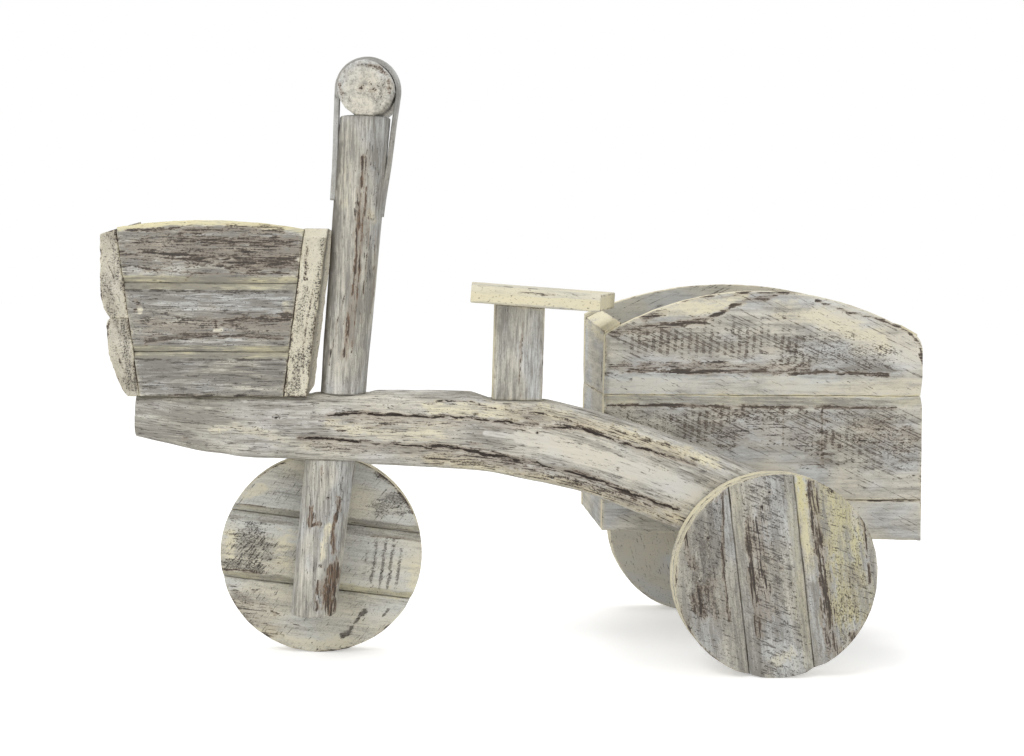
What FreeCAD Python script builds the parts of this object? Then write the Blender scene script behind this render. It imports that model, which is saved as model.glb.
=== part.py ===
import FreeCAD, Part

import math
import os
import re

import Sketcher
from FreeCAD import Placement, Rotation, Vector

"""A rustic wooden planter stand in the form of a tricycle, in millimetres.

A bent branch runs from the basket in front to the near rear wheel. The steering post stands on
it, the fork leg with the front wheel hangs under it, and the box behind is fixed to its far
face. While it is built, X runs backwards and Z up from the near rear wheel's centre, and Y runs
from that wheel's outer face to the far side. The last step moves the whole stand so that its
origin is the middle of its footprint on the ground.
"""

SHEET_NAME = "Sizes"

SIZES = (
    ("wheel_radius", 88.5, "all three wheels are sawn to one template"),
    ("ply_thickness", 13, "one layer of boards in a rear wheel"),
    ("front_ply_thickness", 10, "one layer of boards in the front wheel"),
    ("wheel_bevel_depth", 4.5, "depth of the joints in the wheels' faces"),
    ("rear_bevel_width", 9.5, "bevel on each board beside a rear wheel's joint"),
    ("rear_front_joint", 32.6, "rear wheel: centre to the joint towards the front"),
    ("rear_back_joint", 24.6, "rear wheel: centre to the joint towards the back"),
    ("front_bevel_width", 7, "bevel on each board beside a front wheel's joint"),
    ("front_upper_joint", 28.6, "front wheel: centre to the upper joint"),
    ("front_lower_joint", 31.3, "front wheel: centre to the lower joint"),
    ("wheel_base", 391.6, "front wheel's centre ahead of the near rear wheel's"),
    ("far_wheel_lead", 19.7, "far rear wheel's centre ahead of the near one's"),
    ("near_wheel_degrees", 8.9, "lean of the near rear wheel's boards"),
    ("front_wheel_degrees", 6.5, "slope of the front wheel's boards"),
    ("beam_thickness", 48, "beam across, from its near face to its far face"),
    ("beam_front_reach", 63, "beam's front end ahead of the basket's middle"),
    ("beam_rear_reach", 40, "beam's sawn end behind the rear wheel's centre"),
    ("beam_crest", 149.5, "beam's highest point above the wheels' centres"),
    ("beam_corner_radius", 14, "rounding of the branch's four long corners"),
    ("basket_seat_height", 141.7, "flat under the basket, at the basket's middle"),
    ("post_seat_height", 145.5, "flat under the steering post"),
    ("seat_post_seat_height", 143, "flat under the seat post"),
    ("leg_head_height", 89, "flat over the fork leg"),
    ("flat_margin", 2, "how far a planed flat runs past what stands on it"),
    ("post_set_back", 21.6, "steering post's foot behind the fork leg's"),
    ("post_foot_radius", 19.7, "steering post at its foot"),
    ("post_head_radius", 21.7, "steering post at its head"),
    ("post_lean", 14, "how far the post's head leans backwards"),
    ("leg_lead", 5, "fork leg's foot ahead of the front wheel's centre"),
    ("leg_drop", 48.5, "fork leg's foot below the wheel's centre"),
    ("leg_foot_radius", 19.9, "fork leg at its foot"),
    ("leg_head_radius", 22.4, "fork leg at its head"),
    ("leg_lean", 11.9, "how far the leg's head leans backwards"),
    ("leg_set_back", 3, "fork leg's axis beyond the middle of the beam"),
    ("leg_flat_offset", 19, "fork leg's axis to its flat for the front wheel"),
    ("log_radius", 23.5, "handlebar log"),
    ("log_length", 64, "handlebar log from end to end"),
    ("log_overhang", 26, "handlebar log's near end in front of the post's axis"),
    ("log_height", 403.1, "handlebar log's axis above the wheels' centres"),
    ("log_set_back", 2, "handlebar log's axis behind the post's head"),
    ("log_flat_depth", 1.4, "flat under the log, where it sits on the post"),
    ("log_yaw_degrees", 6, "turn of the log about the upright"),
    ("strap_thickness", 3.4, "thin slat bent over the log"),
    ("strap_width", 14, "strap across"),
    ("strap_log_gap", 1.6, "strap's bend clear of the log"),
    ("strap_front_half", 24.8, "strap's middle to its front end's outside"),
    ("strap_rear_half", 22.9, "strap's middle to its rear end's outside"),
    ("strap_front_length", 94.3, "log's axis down to the strap's front end"),
    ("strap_rear_length", 104.4, "log's axis down to the strap's rear end"),
    ("dowel_radius", 6, "dowels that join posts and beam"),
    ("dowel_depth", 26, "dowel's length in each post"),
    ("dowel_lead", 5, "steering dowel ahead of the middle of the post's foot"),
    ("seat_dowel_sink", 40, "seat dowel's length in the beam"),
    ("seat_thickness", 15, "seat board"),
    ("seat_clearance", 3.8, "seat's underside above the box's front wall"),
    ("seat_near_reach", 30, "seat's near edge in front of the post's axis"),
    ("seat_far_reach", 70, "seat's far edge beyond the post's axis"),
    ("seat_front_near", 44.3, "seat ahead of its post, near edge"),
    ("seat_front_far", 38.8, "seat ahead of its post, far edge"),
    ("seat_back_near", 66.1, "seat behind its post, near edge"),
    ("seat_back_far", 93.7, "seat behind its post, far edge"),
    ("seat_chamfer", 4, "bevel along the seat's near upper edge"),
    ("seat_slope_degrees", 2.6, "seat falls to the back"),
    ("seat_roll_degrees", 1.5, "seat falls to the near side"),
    ("seat_post_lead", 80.7, "seat post's axis ahead of the box"),
    ("seat_post_width", 42.5, "seat post along the beam"),
    ("seat_post_thickness", 24, "seat post across the beam"),
    ("basket_gap", 0.2, "basket's rear panel clear of the steering post"),
    ("basket_set_back", 2, "basket's near face beyond the beam's"),
    ("basket_degrees", 1.2, "basket rises to the back"),
    ("basket_board", 12, "basket's side and floor boards"),
    ("basket_inside_width", 94, "basket between its side boards"),
    ("basket_bottom_half", 59.4, "basket's middle to its ends, at the bottom"),
    ("basket_flare", 17.1, "how far each end leans out over the end's height"),
    ("basket_end_height", 135.6, "height over which the flare is measured"),
    ("basket_lower_joint", 37.6, "first joint in the basket's sides"),
    ("basket_upper_joint", 95.3, "second joint in the basket's sides"),
    ("basket_corner_height", 141.3, "basket's sides at their ends"),
    ("basket_crown", 6.6, "rise of the sides' upper edge in the middle"),
    ("basket_bevel_width", 6, "bevel on each board beside a basket joint"),
    ("basket_bevel_depth", 4, "depth of the basket's joints"),
    ("basket_rim_chamfer", 4.5, "bevel along the near side's upper edge"),
    ("slab_thickness", 20, "lower half-round slab at its thickest"),
    ("slab_foot_thickness", 11, "lower slab at its bottom"),
    ("slab_waist_height", 65.5, "joint between the two slabs"),
    ("slab_waist_thickness", 16, "both slabs at the joint between them"),
    ("slab_round_radius", 100, "bark side of the lower slab"),
    ("slab_nose_radius", 12, "rounding of the lower slab's upper corner"),
    ("slab_shoulder_height", 56, "lower slab's thickest place"),
    ("upper_slab_face", 90.8, "basket's middle to the upper slab's outside"),
    ("upper_slab_turn", 21, "height of the upper slab's rounded corner"),
    ("upper_slab_turn_radius", 40, "upper slab's rounded corner"),
    ("upper_slab_top", 135, "upper slab's outside top, near end"),
    ("upper_slab_rise", 10, "how much higher its far end is"),
    ("rear_panel_thickness", 19.8, "basket's thick rear panel, measured level"),
    ("rear_panel_height", 142, "basket's rear panel"),
    ("rear_panel_chamfer", 8, "bevel on the panel's near upper edge"),
    ("box_board_width", 94.8, "boards of the rear box"),
    ("box_board", 12, "thickness of the box's side and floor boards"),
    ("box_wall", 16, "thickness of its front and rear boards"),
    ("box_inside_width", 122, "box between its sides"),
    ("box_height", 149.1, "box's long joint above the wheels' centres"),
    ("box_degrees", 1, "box rises to the back"),
    ("box_front_reach", 144, "box ahead of the rear wheel"),
    ("box_rear_reach", 148.2, "box behind the rear wheel at the long joint"),
    ("box_rear_splay", 3.3, "how far the rear edge leans out at the bottom"),
    ("box_front_strip", 27.6, "bottom strip's height at the front"),
    ("box_rear_strip", 38.1, "bottom strip's height at the back"),
    ("near_arch_rise", 94.7, "near side's crown above the long joint"),
    ("near_arch_radius", 277, "near side's arched edge"),
    ("far_arch_rise", 99, "far side's crown above the long joint"),
    ("far_arch_radius", 355, "far side's arched edge"),
    ("arch_corner_radius", 10, "rounded rear corner of the arched boards"),
    ("arch_corner_drop", 12.5, "height of that corner"),
    ("arch_corner_inset", 6, "length of that corner"),
    ("box_bevel_depth", 4.5, "depth of the long joint"),
    ("box_upper_bevel", 18, "wide bevel above the long joint"),
    ("box_lower_bevel", 8.5, "narrow bevel below it"),
    ("wall_top_near", 56.5, "front wall's outside top at its near end"),
    ("wall_top_far", 64, "front wall's outside top at its far end"),
    ("wall_top_fall", 8.6, "fall of the walls' tops from inside to outside"),
    ("rear_wall_inset", 2.2, "rear wall's face inside the sides' ends"),
    ("box_floor_drop", 119.6, "floor's underside below the long joint"),
    ("batten_size", 15, "corner battens inside the box"),
    ("batten_top", 40, "battens' top above the long joint"),
    ("block_thickness", 20, "block between the box and the far wheel"),
    ("block_width", 44, "block along the box"),
    ("block_shift", 5, "block's middle ahead of the near wheel's centre"),
    ("block_top", 76, "block's top above the wheel's centre"),
    ("block_bottom", 27, "block's bottom below the wheel's centre"),
    ("screw_radius", 2.2, "screws"),
    ("screw_head_radius", 4.2, "screws' heads, let in flush"),
    ("screw_head_height", 2.4, "height of the screws' heads"),
    ("wheel_screw_length", 50, "screws that hold the rear wheels"),
    ("fork_screw_length", 52, "screws through the leg into the front wheel"),
    ("fork_screw_sink", 5, "fork screws' heads below the leg's near side"),
    ("far_screw_length", 42, "screws through the far wheel into its block"),
    ("box_screw_length", 38, "screws from inside the box into the beam"),
    ("block_screw_length", 28, "screws from inside the box into the block"),
    ("floor_screw_length", 40, "screws from the basket's floor into the beam"),
    ("seat_screw_length", 45, "screws from the seat into its post"),
    ("log_screw_length", 85, "screw through the log into the post"),
    ("bore_clearance", 0.1, "holes are this much larger in radius"),
    ("overrun", 5, "how far a cut runs past what it cuts"),
)

ALIASES = {alias for alias, number, remark in SIZES}

# The beam's outline: distance from its front end as a share of its length, then its upper and
# lower edges above the wheels' centres as shares of its crest.
BEAM_SHARES = (
    (0.000, 0.957, 0.703),
    (0.089, 0.960, 0.619),
    (0.148, 0.963, 0.592),
    (0.230, 0.973, 0.585),
    (0.325, 0.995, 0.573),
    (0.494, 1.000, 0.545),
    (0.591, 0.973, 0.475),
    (0.647, 0.926, 0.425),
    (0.736, 0.833, 0.300),
    (0.828, 0.709, 0.158),
    (0.922, 0.569, -0.047),
    (1.000, 0.445, -0.177),
)

# The two branches that stand upright are a little thicker between their ends.
POST_BULGE_SHARE = 0.03
POST_BULGE_HEIGHT_SHARE = 0.55

# Round pieces are made of flat sides: so many round a branch, in a quarter of the beam's
# rounding and round a screw.
BRANCH_SIDES = 24
CORNER_SIDES = 3
SCREW_SIDES = 12

# Places of screws, as shares of what they pass through.
NEAR_SCREW_SHARES = ((0.035, 0.085), (0.135, -0.075), (-0.068, 0.81))
FAR_SCREW_SHARES = ((0.16, 0.14), (-0.05, -0.12), (0.34, -0.02))
FORK_SCREW_SHARES = ((0.773, 0.771), (0.344, 0.344))
BOX_SCREW_SHARES = ((-0.80, -0.66), (-0.47, -0.88), (-0.18, -0.90))
BLOCK_SCREW_SHARES = ((-0.25, 0.66), (0.2, 0.85))
FLOOR_SCREW_SHARES = (-0.6, 0.6)
SEAT_SCREW_SHARES = (-0.25, 0.25)

# Places in the build frame that several pieces share, as expressions in the sizes. The leg,
# the post, the log and the basket follow the front wheel, and the seat follows the box.
LEG_DISTANCE = "(wheel_base + leg_lead)"
POST_DISTANCE = "(wheel_base + leg_lead - post_set_back)"
DOWEL_DISTANCE = "(%s + dowel_lead)" % POST_DISTANCE
LOG_DISTANCE = "(%s - post_lean - log_set_back)" % POST_DISTANCE
SEAT_DISTANCE = "(box_front_reach + seat_post_lead)"
SEAT_HEIGHT = "(box_height + wall_top_far + wall_top_fall + seat_clearance)"
RIM_REACH = ("(basket_bottom_half + basket_flare * rear_panel_height / basket_end_height"
             " + rear_panel_thickness - rear_panel_height * sin(basket_degrees))")
BASKET_DISTANCE = "(%s - post_lean / 2 + post_head_radius + %s + basket_gap)" % (
    POST_DISTANCE, RIM_REACH)
BEAM_LENGTH = "(beam_rear_reach + %s + beam_front_reach)" % BASKET_DISTANCE
BEAM_Y = "2 * ply_thickness"
POST_Y = BEAM_Y + " + beam_thickness / 2"
LEG_Y = POST_Y + " + leg_set_back"
FRONT_WHEEL_Y = LEG_Y + " + leg_flat_offset"
BOX_Y = BEAM_Y + " + beam_thickness"
BOX_INSIDE_Y = BOX_Y + " + box_board"
BOX_FAR_Y = BOX_INSIDE_Y + " + box_inside_width"
BLOCK_Y = BOX_FAR_Y + " + box_board"
FAR_WHEEL_Y = BLOCK_Y + " + block_thickness"
BASKET_Y = BEAM_Y + " + basket_set_back"
BASKET_WIDTH = "(basket_inside_width + 2 * basket_board)"

document = FreeCAD.newDocument("planter_stand")
sheet = document.addObject("Spreadsheet::Sheet", SHEET_NAME)
for row, (alias, number, remark) in enumerate(SIZES, start=1):
    sheet.set("A%d" % row, remark)
    sheet.set("B%d" % row, str(number))
    sheet.setAlias("B%d" % row, alias)
document.recompute()

# Two places this near each other are the same, in millimetres.
SAME_PLACE = 0.01

nodes = []


def formula(text):
    """Put the sheet's name before each size in an expression."""
    def expand(word):
        return SHEET_NAME + "." + word.group(0) if word.group(0) in ALIASES else word.group(0)
    return re.sub(r"[a-z_]+", expand, text)


def size(text):
    """The number that an expression in the sizes has now."""
    return float(sheet.evalExpression(formula(text)))


def place(x, y, z, *turns):
    """A placement at a point given by expressions, turned by (axis, degrees) pairs in order."""
    rotation = Rotation()
    for axis, degrees in turns:
        rotation = rotation.multiply(Rotation(axis, degrees))
    return Placement(Vector(size(x), size(y), size(z)), rotation)


X_AXIS = Vector(1, 0, 0)
Y_AXIS = Vector(0, 1, 0)
Z_AXIS = Vector(0, 0, 1)


def bind(item, **expressions):
    """Tie properties of an object to the sheet."""
    for name, text in expressions.items():
        item.setExpression(name, formula(text))


def keep(item, label, placement=None):
    """Name a finished piece and list it among the pieces of the stand."""
    item.Label = label
    if placement is not None:
        item.Placement = placement
    nodes.append(item)
    return item


# Sketches


def arc_between(start, end, radius, side):
    """The shorter arc from one corner to the next, bulging out of the outline or into it."""
    chord = end - start
    towards_centre = Vector(-chord.y, chord.x, 0).normalize()
    if side == "in":
        towards_centre = towards_centre * -1
    distance = math.sqrt(radius ** 2 - (chord.Length / 2) ** 2)
    centre = (start + end) * 0.5 + towards_centre * distance
    first, last = (start, end) if side == "out" else (end, start)
    angles = [math.atan2(point.y - centre.y, point.x - centre.x) for point in (first, last)]
    if angles[1] < angles[0]:
        angles[1] += 2 * math.pi
    return Part.ArcOfCircle(Part.Circle(centre, Z_AXIS, radius), angles[0], angles[1])


def constrain(sketch, kind, places, text):
    """Add a constraint whose value is an expression in the sizes."""
    index = sketch.addConstraint(Sketcher.Constraint(kind, *places, size(text)))
    if text != "0":
        sketch.setExpression("Constraints[%d]" % index, formula(text))


def new_sketch(body, plane, offset):
    """An empty sketch on one of a body's origin planes, moved along the plane's normal."""
    sketch = body.newObject("Sketcher::SketchObject", body.Name + "_sketch")
    support = [feature for feature in body.Origin.OriginFeatures if feature.Role == plane][0]
    sketch.AttachmentSupport = [(support, "")]
    sketch.MapMode = "FlatFace"
    sketch.setExpression("AttachmentOffset.Base.z", formula(offset))
    return sketch


def draw_outline(body, plane, outline, offset="0"):
    """A closed outline, anticlockwise. A corner is (x, y), or (x, y, radius, side) where the
    edge that leaves it is an arc that bulges "out" or "in"."""
    sketch = new_sketch(body, plane, offset)
    corners = [Vector(size(corner[0]), size(corner[1]), 0) for corner in outline]
    ends = []
    for index, corner in enumerate(outline):
        start = corners[index]
        end = corners[(index + 1) % len(corners)]
        if len(corner) == 2:
            sketch.addGeometry(Part.LineSegment(start, end))
            ends.append((1, 2))
        else:
            sketch.addGeometry(arc_between(start, end, size(corner[2]), corner[3]))
            ends.append((1, 2) if corner[3] == "out" else (2, 1))
    for index, corner in enumerate(outline):
        before = index - 1 if index else len(outline) - 1
        joint = (before, ends[before][1], index, ends[index][0])
        sketch.addConstraint(Sketcher.Constraint("Coincident", *joint))
        constrain(sketch, "DistanceX", (-1, 1, index, ends[index][0]), corner[0])
        constrain(sketch, "DistanceY", (-1, 1, index, ends[index][0]), corner[1])
        if len(corner) > 2:
            constrain(sketch, "Radius", (index,), corner[2])
    return sketch


# Bodies


def new_body(name):
    return document.addObject("PartDesign::Body", name)


def pad(body, outline, thickness, plane="XZ_Plane"):
    """Pad an outline away from its plane towards +Y, or towards +X or +Z."""
    feature = body.newObject("PartDesign::Pad", body.Name + "_pad")
    feature.Profile = draw_outline(body, plane, outline)
    feature.Reversed = plane == "XZ_Plane"
    bind(feature, Length=thickness)
    return feature


def pocket(body, outline, plane, width):
    """Cut an outline's shape right through the body, to both sides of the plane."""
    feature = body.newObject("PartDesign::Pocket", body.Name + "_pocket")
    feature.Profile = draw_outline(body, plane, outline)
    feature.SideType = "Symmetric"
    bind(feature, Length="2 * (%s + overrun)" % width)
    return feature


def loft(body, sketches):
    """Join sketches into one solid with straight stretches from each to the next."""
    feature = body.newObject("PartDesign::AdditiveLoft", body.Name + "_loft")
    feature.Profile = sketches[0]
    feature.Sections = sketches[1:]
    feature.Ruled = True
    return feature


def bevel(body, joint, height, depth, reach, side, thickness, face="near"):
    """Plane a bevel along a board's edge at a joint. The board lies above or below the joint,
    which is a height in the body's own frame, and its shown face is the near or the far one."""
    sign = "+" if side == "above" else "-"
    back = "-" if side == "above" else "+"
    run = "(%s) * (%s + overrun) / %s" % (height, depth, depth)
    bottom = depth
    outside = "-overrun"
    if face == "far":
        bottom = "%s - %s" % (thickness, depth)
        outside = "%s + overrun" % thickness
    outline = [
        (bottom, "%s %s overrun" % (joint, back)),
        (bottom, joint),
        (outside, "%s %s %s" % (joint, sign, run)),
        (outside, "%s %s overrun" % (joint, back)),
    ]
    if (side == "below") == (face == "near"):
        outline.reverse()
    return pocket(body, outline, "YZ_Plane", reach)


def chamfer(body, width, depth, picks):
    """Bevel those of a body's edges whose middle passes a test."""
    document.recompute()
    last = body.Tip
    names = []
    for index, edge in enumerate(last.Shape.Edges, start=1):
        middle = edge.valueAt((edge.FirstParameter + edge.LastParameter) / 2)
        if picks(edge, middle):
            names.append("Edge%d" % index)
    feature = body.newObject("PartDesign::Chamfer", body.Name + "_chamfer")
    feature.Base = (last, names)
    feature.ChamferType = "Two distances"
    bind(feature, Size=width, Size2=depth)
    return feature


def cut(label, base, tools):
    """A finished piece: a blank with the shapes of its neighbours or fasteners cut from it."""
    piece = document.addObject("Part::Cut", label)
    piece.Base = base
    if len(tools) == 1:
        piece.Tool = tools[0]
    else:
        group = document.addObject("Part::Compound", label + "_tools")
        group.Links = tools
        piece.Tool = group
    return keep(piece, label)


def box(name, length, width, height, placement):
    """A plain squared block."""
    block = document.addObject("Part::Box", name)
    bind(block, Length=length, Width=width, Height=height)
    block.Placement = placement
    return block


def upright_branch(name, foot_radius, head_radius, lean, height, placement):
    """A branch whose head leans backwards, its ends sawn level. The placement is its foot's."""
    body = new_body(name)
    middle = "(%s + (%s - %s) * %g) * %g" % (
        foot_radius, head_radius, foot_radius, POST_BULGE_HEIGHT_SHARE, 1 + POST_BULGE_SHARE)
    levels = ((0, foot_radius), (POST_BULGE_HEIGHT_SHARE, middle), (1, head_radius))
    sections = []
    for share, radius in levels:
        outline = []
        for side in range(BRANCH_SIDES):
            angle = 2 * math.pi * side / BRANCH_SIDES
            outline.append(("%s * %g + %s * (%.6f)" % (lean, share, radius, math.cos(angle)),
                            "%s * (%.6f)" % (radius, math.sin(angle))))
        sections.append(draw_outline(body, "XY_Plane", outline, "(%s) * %g" % (height, share)))
    loft(body, sections)
    body.Placement = placement
    return body


# Fasteners


def screw(name, length, placement, clearance="0"):
    """A screw whose head is flush with the origin and whose point is at +Z, or with a clearance
    the hole that it needs."""
    shank = document.addObject("Part::Prism", name + "_shank")
    shank.Polygon = SCREW_SIDES
    bind(shank, Circumradius="screw_radius + " + clearance, Height="%s + %s" % (length, clearance))
    head = document.addObject("Part::Prism", name + "_head")
    head.Polygon = SCREW_SIDES
    bind(head, Circumradius="screw_head_radius + " + clearance, Height="screw_head_height")
    whole = document.addObject("Part::Fuse", name)
    whole.Base = shank
    whole.Tool = head
    whole.Placement = placement
    return whole


def screws(label, length, placements):
    """A named group of like screws. Returns the holes that they need."""
    pieces = []
    holes = []
    for index, placement in enumerate(placements, start=1):
        name = "%s_%d" % (label, index)
        pieces.append(screw(name, length, placement))
        holes.append(screw(name + "_hole", length, placement, "bore_clearance"))
    group = document.addObject("Part::Compound", label)
    group.Links = pieces
    keep(group, label)
    return holes


def dowel(label, length, placement):
    """A round dowel along +Z. Returns the hole that it needs."""
    pin = document.addObject("Part::Cylinder", label)
    bind(pin, Radius="dowel_radius", Height=length)
    keep(pin, label, placement)
    hole = document.addObject("Part::Cylinder", label + "_hole")
    bind(hole, Radius="dowel_radius + bore_clearance", Height=length)
    hole.Placement = placement
    return hole


# Wheels


def half_chord(height):
    """Half the width of the wheel's circle at a height from its centre."""
    return "sqrt(wheel_radius ^ 2 - (%s) ^ 2)" % height


def disc_board(name, lower, upper, thickness):
    """A board sawn to the wheel's circle between two straight edges, shown face at y = 0. An
    edge that is None is the circle's own."""
    radius = "wheel_radius"
    body = new_body(name)
    if lower is None:
        outline = [("-" + half_chord(upper), upper, radius, "out"),
                   ("0", "-wheel_radius", radius, "out"),
                   (half_chord(upper), upper)]
    elif upper is None:
        outline = [("-" + half_chord(lower), lower),
                   (half_chord(lower), lower, radius, "out"),
                   ("0", "wheel_radius", radius, "out")]
    else:
        outline = [("-" + half_chord(lower), lower),
                   (half_chord(lower), lower, radius, "out"),
                   (half_chord(upper), upper),
                   ("-" + half_chord(upper), upper, radius, "out")]
    pad(body, outline, thickness)
    return body


def wheel(label, ply, upper, lower, width, placement, holes):
    """A wheel in its own frame: three face boards with bevelled joints, shown face at y = 0, on
    two backing boards that cross them. Boards run along X and the joints lie above and below."""
    below = "-" + lower
    spans = ((None, below), (below, upper), (upper, None))
    for number, (bottom, top) in enumerate(spans, start=1):
        name = "%s_board_%d" % (label, number)
        board = disc_board(name + "_blank", bottom, top, ply)
        if bottom is not None:
            bevel(board, bottom, width, "wheel_bevel_depth", "wheel_radius", "above", ply)
        if top is not None:
            bevel(board, top, width, "wheel_bevel_depth", "wheel_radius", "below", ply)
        board.Placement = placement
        cut(name, board, holes)
    crossed = placement.multiply(Placement(Vector(0, size(ply), 0), Rotation(Y_AXIS, 90)))
    for number, (bottom, top) in enumerate(((None, "0"), ("0", None)), start=1):
        name = "%s_backing_%d" % (label, number)
        board = disc_board(name + "_blank", bottom, top, ply)
        board.Placement = crossed
        cut(name, board, holes)


def near_wheel():
    """The near rear wheel, its boards nearly upright. Returns the holes of its screws."""
    towards_beam = (X_AXIS, -90)
    holes = screws("near_wheel_screws", "wheel_screw_length", [
        place("wheel_radius * %g" % x, "0", "wheel_radius * %g" % z, towards_beam)
        for x, z in NEAR_SCREW_SHARES])
    frame = place("0", "0", "0", (Y_AXIS, -90 - size("near_wheel_degrees")))
    wheel("near_wheel", "ply_thickness", "rear_front_joint", "rear_back_joint",
          "rear_bevel_width", frame, holes)
    return holes


def far_wheel():
    """The far rear wheel, its face turned away. Returns the holes of its screws."""
    outer_y = FAR_WHEEL_Y + " + 2 * ply_thickness"
    holes = screws("far_wheel_screws", "far_screw_length", [
        place("-far_wheel_lead + wheel_radius * %g" % x, outer_y, "wheel_radius * %g" % z,
              (X_AXIS, 90))
        for x, z in FAR_SCREW_SHARES])
    frame = place("-far_wheel_lead", outer_y, "0", (Z_AXIS, 180),
                  (Y_AXIS, -90 - size("near_wheel_degrees")))
    wheel("far_wheel", "ply_thickness", "rear_front_joint", "rear_back_joint",
          "rear_bevel_width", frame, holes)
    return holes


def front_wheel():
    """The front wheel, flat against the back of the fork leg. Returns its screws' holes."""
    height = "(leg_drop + leg_head_height)"
    head_y = "%s - leg_head_radius + fork_screw_sink" % LEG_Y
    holes = screws("front_wheel_screws", "fork_screw_length", [
        place("-%s + leg_lean * %g" % (LEG_DISTANCE, x), head_y,
              "-leg_drop + %s * %g" % (height, z), (X_AXIS, -90))
        for x, z in FORK_SCREW_SHARES])
    frame = place("-wheel_base", FRONT_WHEEL_Y, "0", (Y_AXIS, size("front_wheel_degrees")))
    wheel("front_wheel", "front_ply_thickness", "front_upper_joint", "front_lower_joint",
          "front_bevel_width", frame, holes)
    return holes


# The beam and what stands on it


def beam_section(body, share, top_share, bottom_share):
    """One section across the beam, its corners rounded with flat sides."""
    top = "beam_crest * %g" % top_share
    bottom = "beam_crest * %g" % bottom_share
    corners = (("beam_thickness -", bottom + " +", -90), ("beam_thickness -", top + " -", 0),
               ("0 +", top + " -", 90), ("0 +", bottom + " +", 180))
    outline = []
    for across, upright, first in corners:
        for step in range(CORNER_SIDES + 1):
            angle = math.radians(first + 90 * step / CORNER_SIDES)
            outline.append(tuple("%s beam_corner_radius + beam_corner_radius * (%.6f)" % pair for pair
                                 in ((across, math.cos(angle)), (upright, math.sin(angle)))))
    offset = "beam_rear_reach - %s * %g" % (BEAM_LENGTH, 1 - share)
    return draw_outline(body, "YZ_Plane", outline, offset)


def planed_flat(body, start, end, start_height, end_height, up):
    """Plane the beam flat from one place along it to another."""
    if up:
        clear = "beam_crest + overrun"
        outline = [(start, start_height), (end, end_height), (end, clear), (start, clear)]
    else:
        clear = "-overrun"
        outline = [(start, clear), (end, clear), (end, end_height), (start, start_height)]
    pocket(body, outline, "XZ_Plane", "beam_thickness")


def beam(holes):
    """The bent branch, planed where the basket, the posts and the seat post meet it."""
    body = new_body("beam_blank")
    loft(body, [beam_section(body, *shares) for shares in BEAM_SHARES])
    margin = "flat_margin"
    slope = math.tan(math.radians(size("basket_degrees")))
    front = "(beam_rear_reach - %s - overrun)" % BEAM_LENGTH
    basket_end = "(-%s + basket_bottom_half + rear_panel_thickness + %s)" % (
        BASKET_DISTANCE, margin)
    level = "basket_seat_height + (%s + %s) * %.9f"
    planed_flat(body, front, basket_end, level % (front, BASKET_DISTANCE, slope),
                level % (basket_end, BASKET_DISTANCE, slope), True)
    seats = (
        (POST_DISTANCE, "post_foot_radius", "post_seat_height", True),
        (SEAT_DISTANCE, "seat_post_width / 2", "seat_post_seat_height", True),
        ("(%s - leg_lean)" % LEG_DISTANCE, "leg_head_radius", "leg_head_height", False),
    )
    for distance, half, height, up in seats:
        start = "-%s - %s - %s" % (distance, half, margin)
        end = "-%s + %s + %s" % (distance, half, margin)
        planed_flat(body, start, end, height, height, up)
    body.Placement = place("0", BEAM_Y, "0")
    cut("beam", body, holes)


def steering_dowel():
    """One long dowel through the beam, up into the post and down into the leg."""
    length = "post_seat_height - leg_head_height + 2 * dowel_depth"
    return dowel("steering_dowel", length,
                 place("-" + DOWEL_DISTANCE, POST_Y, "leg_head_height - dowel_depth"))


def steering_post(holes):
    """The post, with a shallow seat on each side for the strap's ends."""
    height = "log_height - log_radius + log_flat_depth - post_seat_height"
    branch = upright_branch("steering_post_blank", "post_foot_radius", "post_head_radius",
                            "post_lean", height,
                            place("-" + POST_DISTANCE, POST_Y, "post_seat_height"))
    seats = new_body("strap_seats")
    strap_pad(seats, "overrun", "strap_width + 2 * bore_clearance")
    seats.Placement = strap_frame()
    cut("steering_post", branch, holes + [seats])


def fork_leg(holes):
    """The leg under the beam, flattened behind for the front wheel."""
    height = "leg_drop + leg_head_height"
    branch = upright_branch("fork_leg_blank", "leg_foot_radius", "leg_head_radius", "leg_lean",
                            height, place("-" + LEG_DISTANCE, LEG_Y, "-leg_drop"))
    flat = box("fork_leg_flat", "2 * leg_head_radius + leg_lean + 2 * overrun",
               "leg_head_radius", height + " + 2 * overrun",
               place("-%s - leg_head_radius - overrun" % LEG_DISTANCE, FRONT_WHEEL_Y,
                     "-leg_drop - overrun"))
    cut("fork_leg", branch, holes + [flat])


def log_frame():
    return place("-" + LOG_DISTANCE, POST_Y, "log_height",
                 (Z_AXIS, -size("log_yaw_degrees")))


def handlebar_log(holes):
    """A short log across the post's head, flattened where it sits."""
    body = new_body("handlebar_log_blank")
    depth = "(log_radius - log_flat_depth)"
    half = "sqrt(log_radius ^ 2 - %s ^ 2)" % depth
    pad(body, [("-" + half, "-" + depth),
               (half, "-" + depth, "log_radius", "out"),
               ("0", "log_radius", "log_radius", "out")], "log_length")
    near_end = Placement(Vector(0, -size("log_overhang"), 0), Rotation())
    body.Placement = log_frame().multiply(near_end)
    cut("handlebar_log", body, holes)


def handlebar_screw():
    """A long screw down through the log into the post, under the strap."""
    return screws("handlebar_screw", "log_screw_length", [
        place("-" + LOG_DISTANCE, POST_Y, "log_height + log_radius", (X_AXIS, 180))])


def strap_frame():
    """The strap's own frame: the log's axis, leaning with the post."""
    height = size("log_height - post_seat_height")
    lean = math.degrees(math.atan2(size("post_lean + log_set_back"), height))
    return place("-" + LOG_DISTANCE, POST_Y, "log_height", (Y_AXIS, lean))


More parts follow.
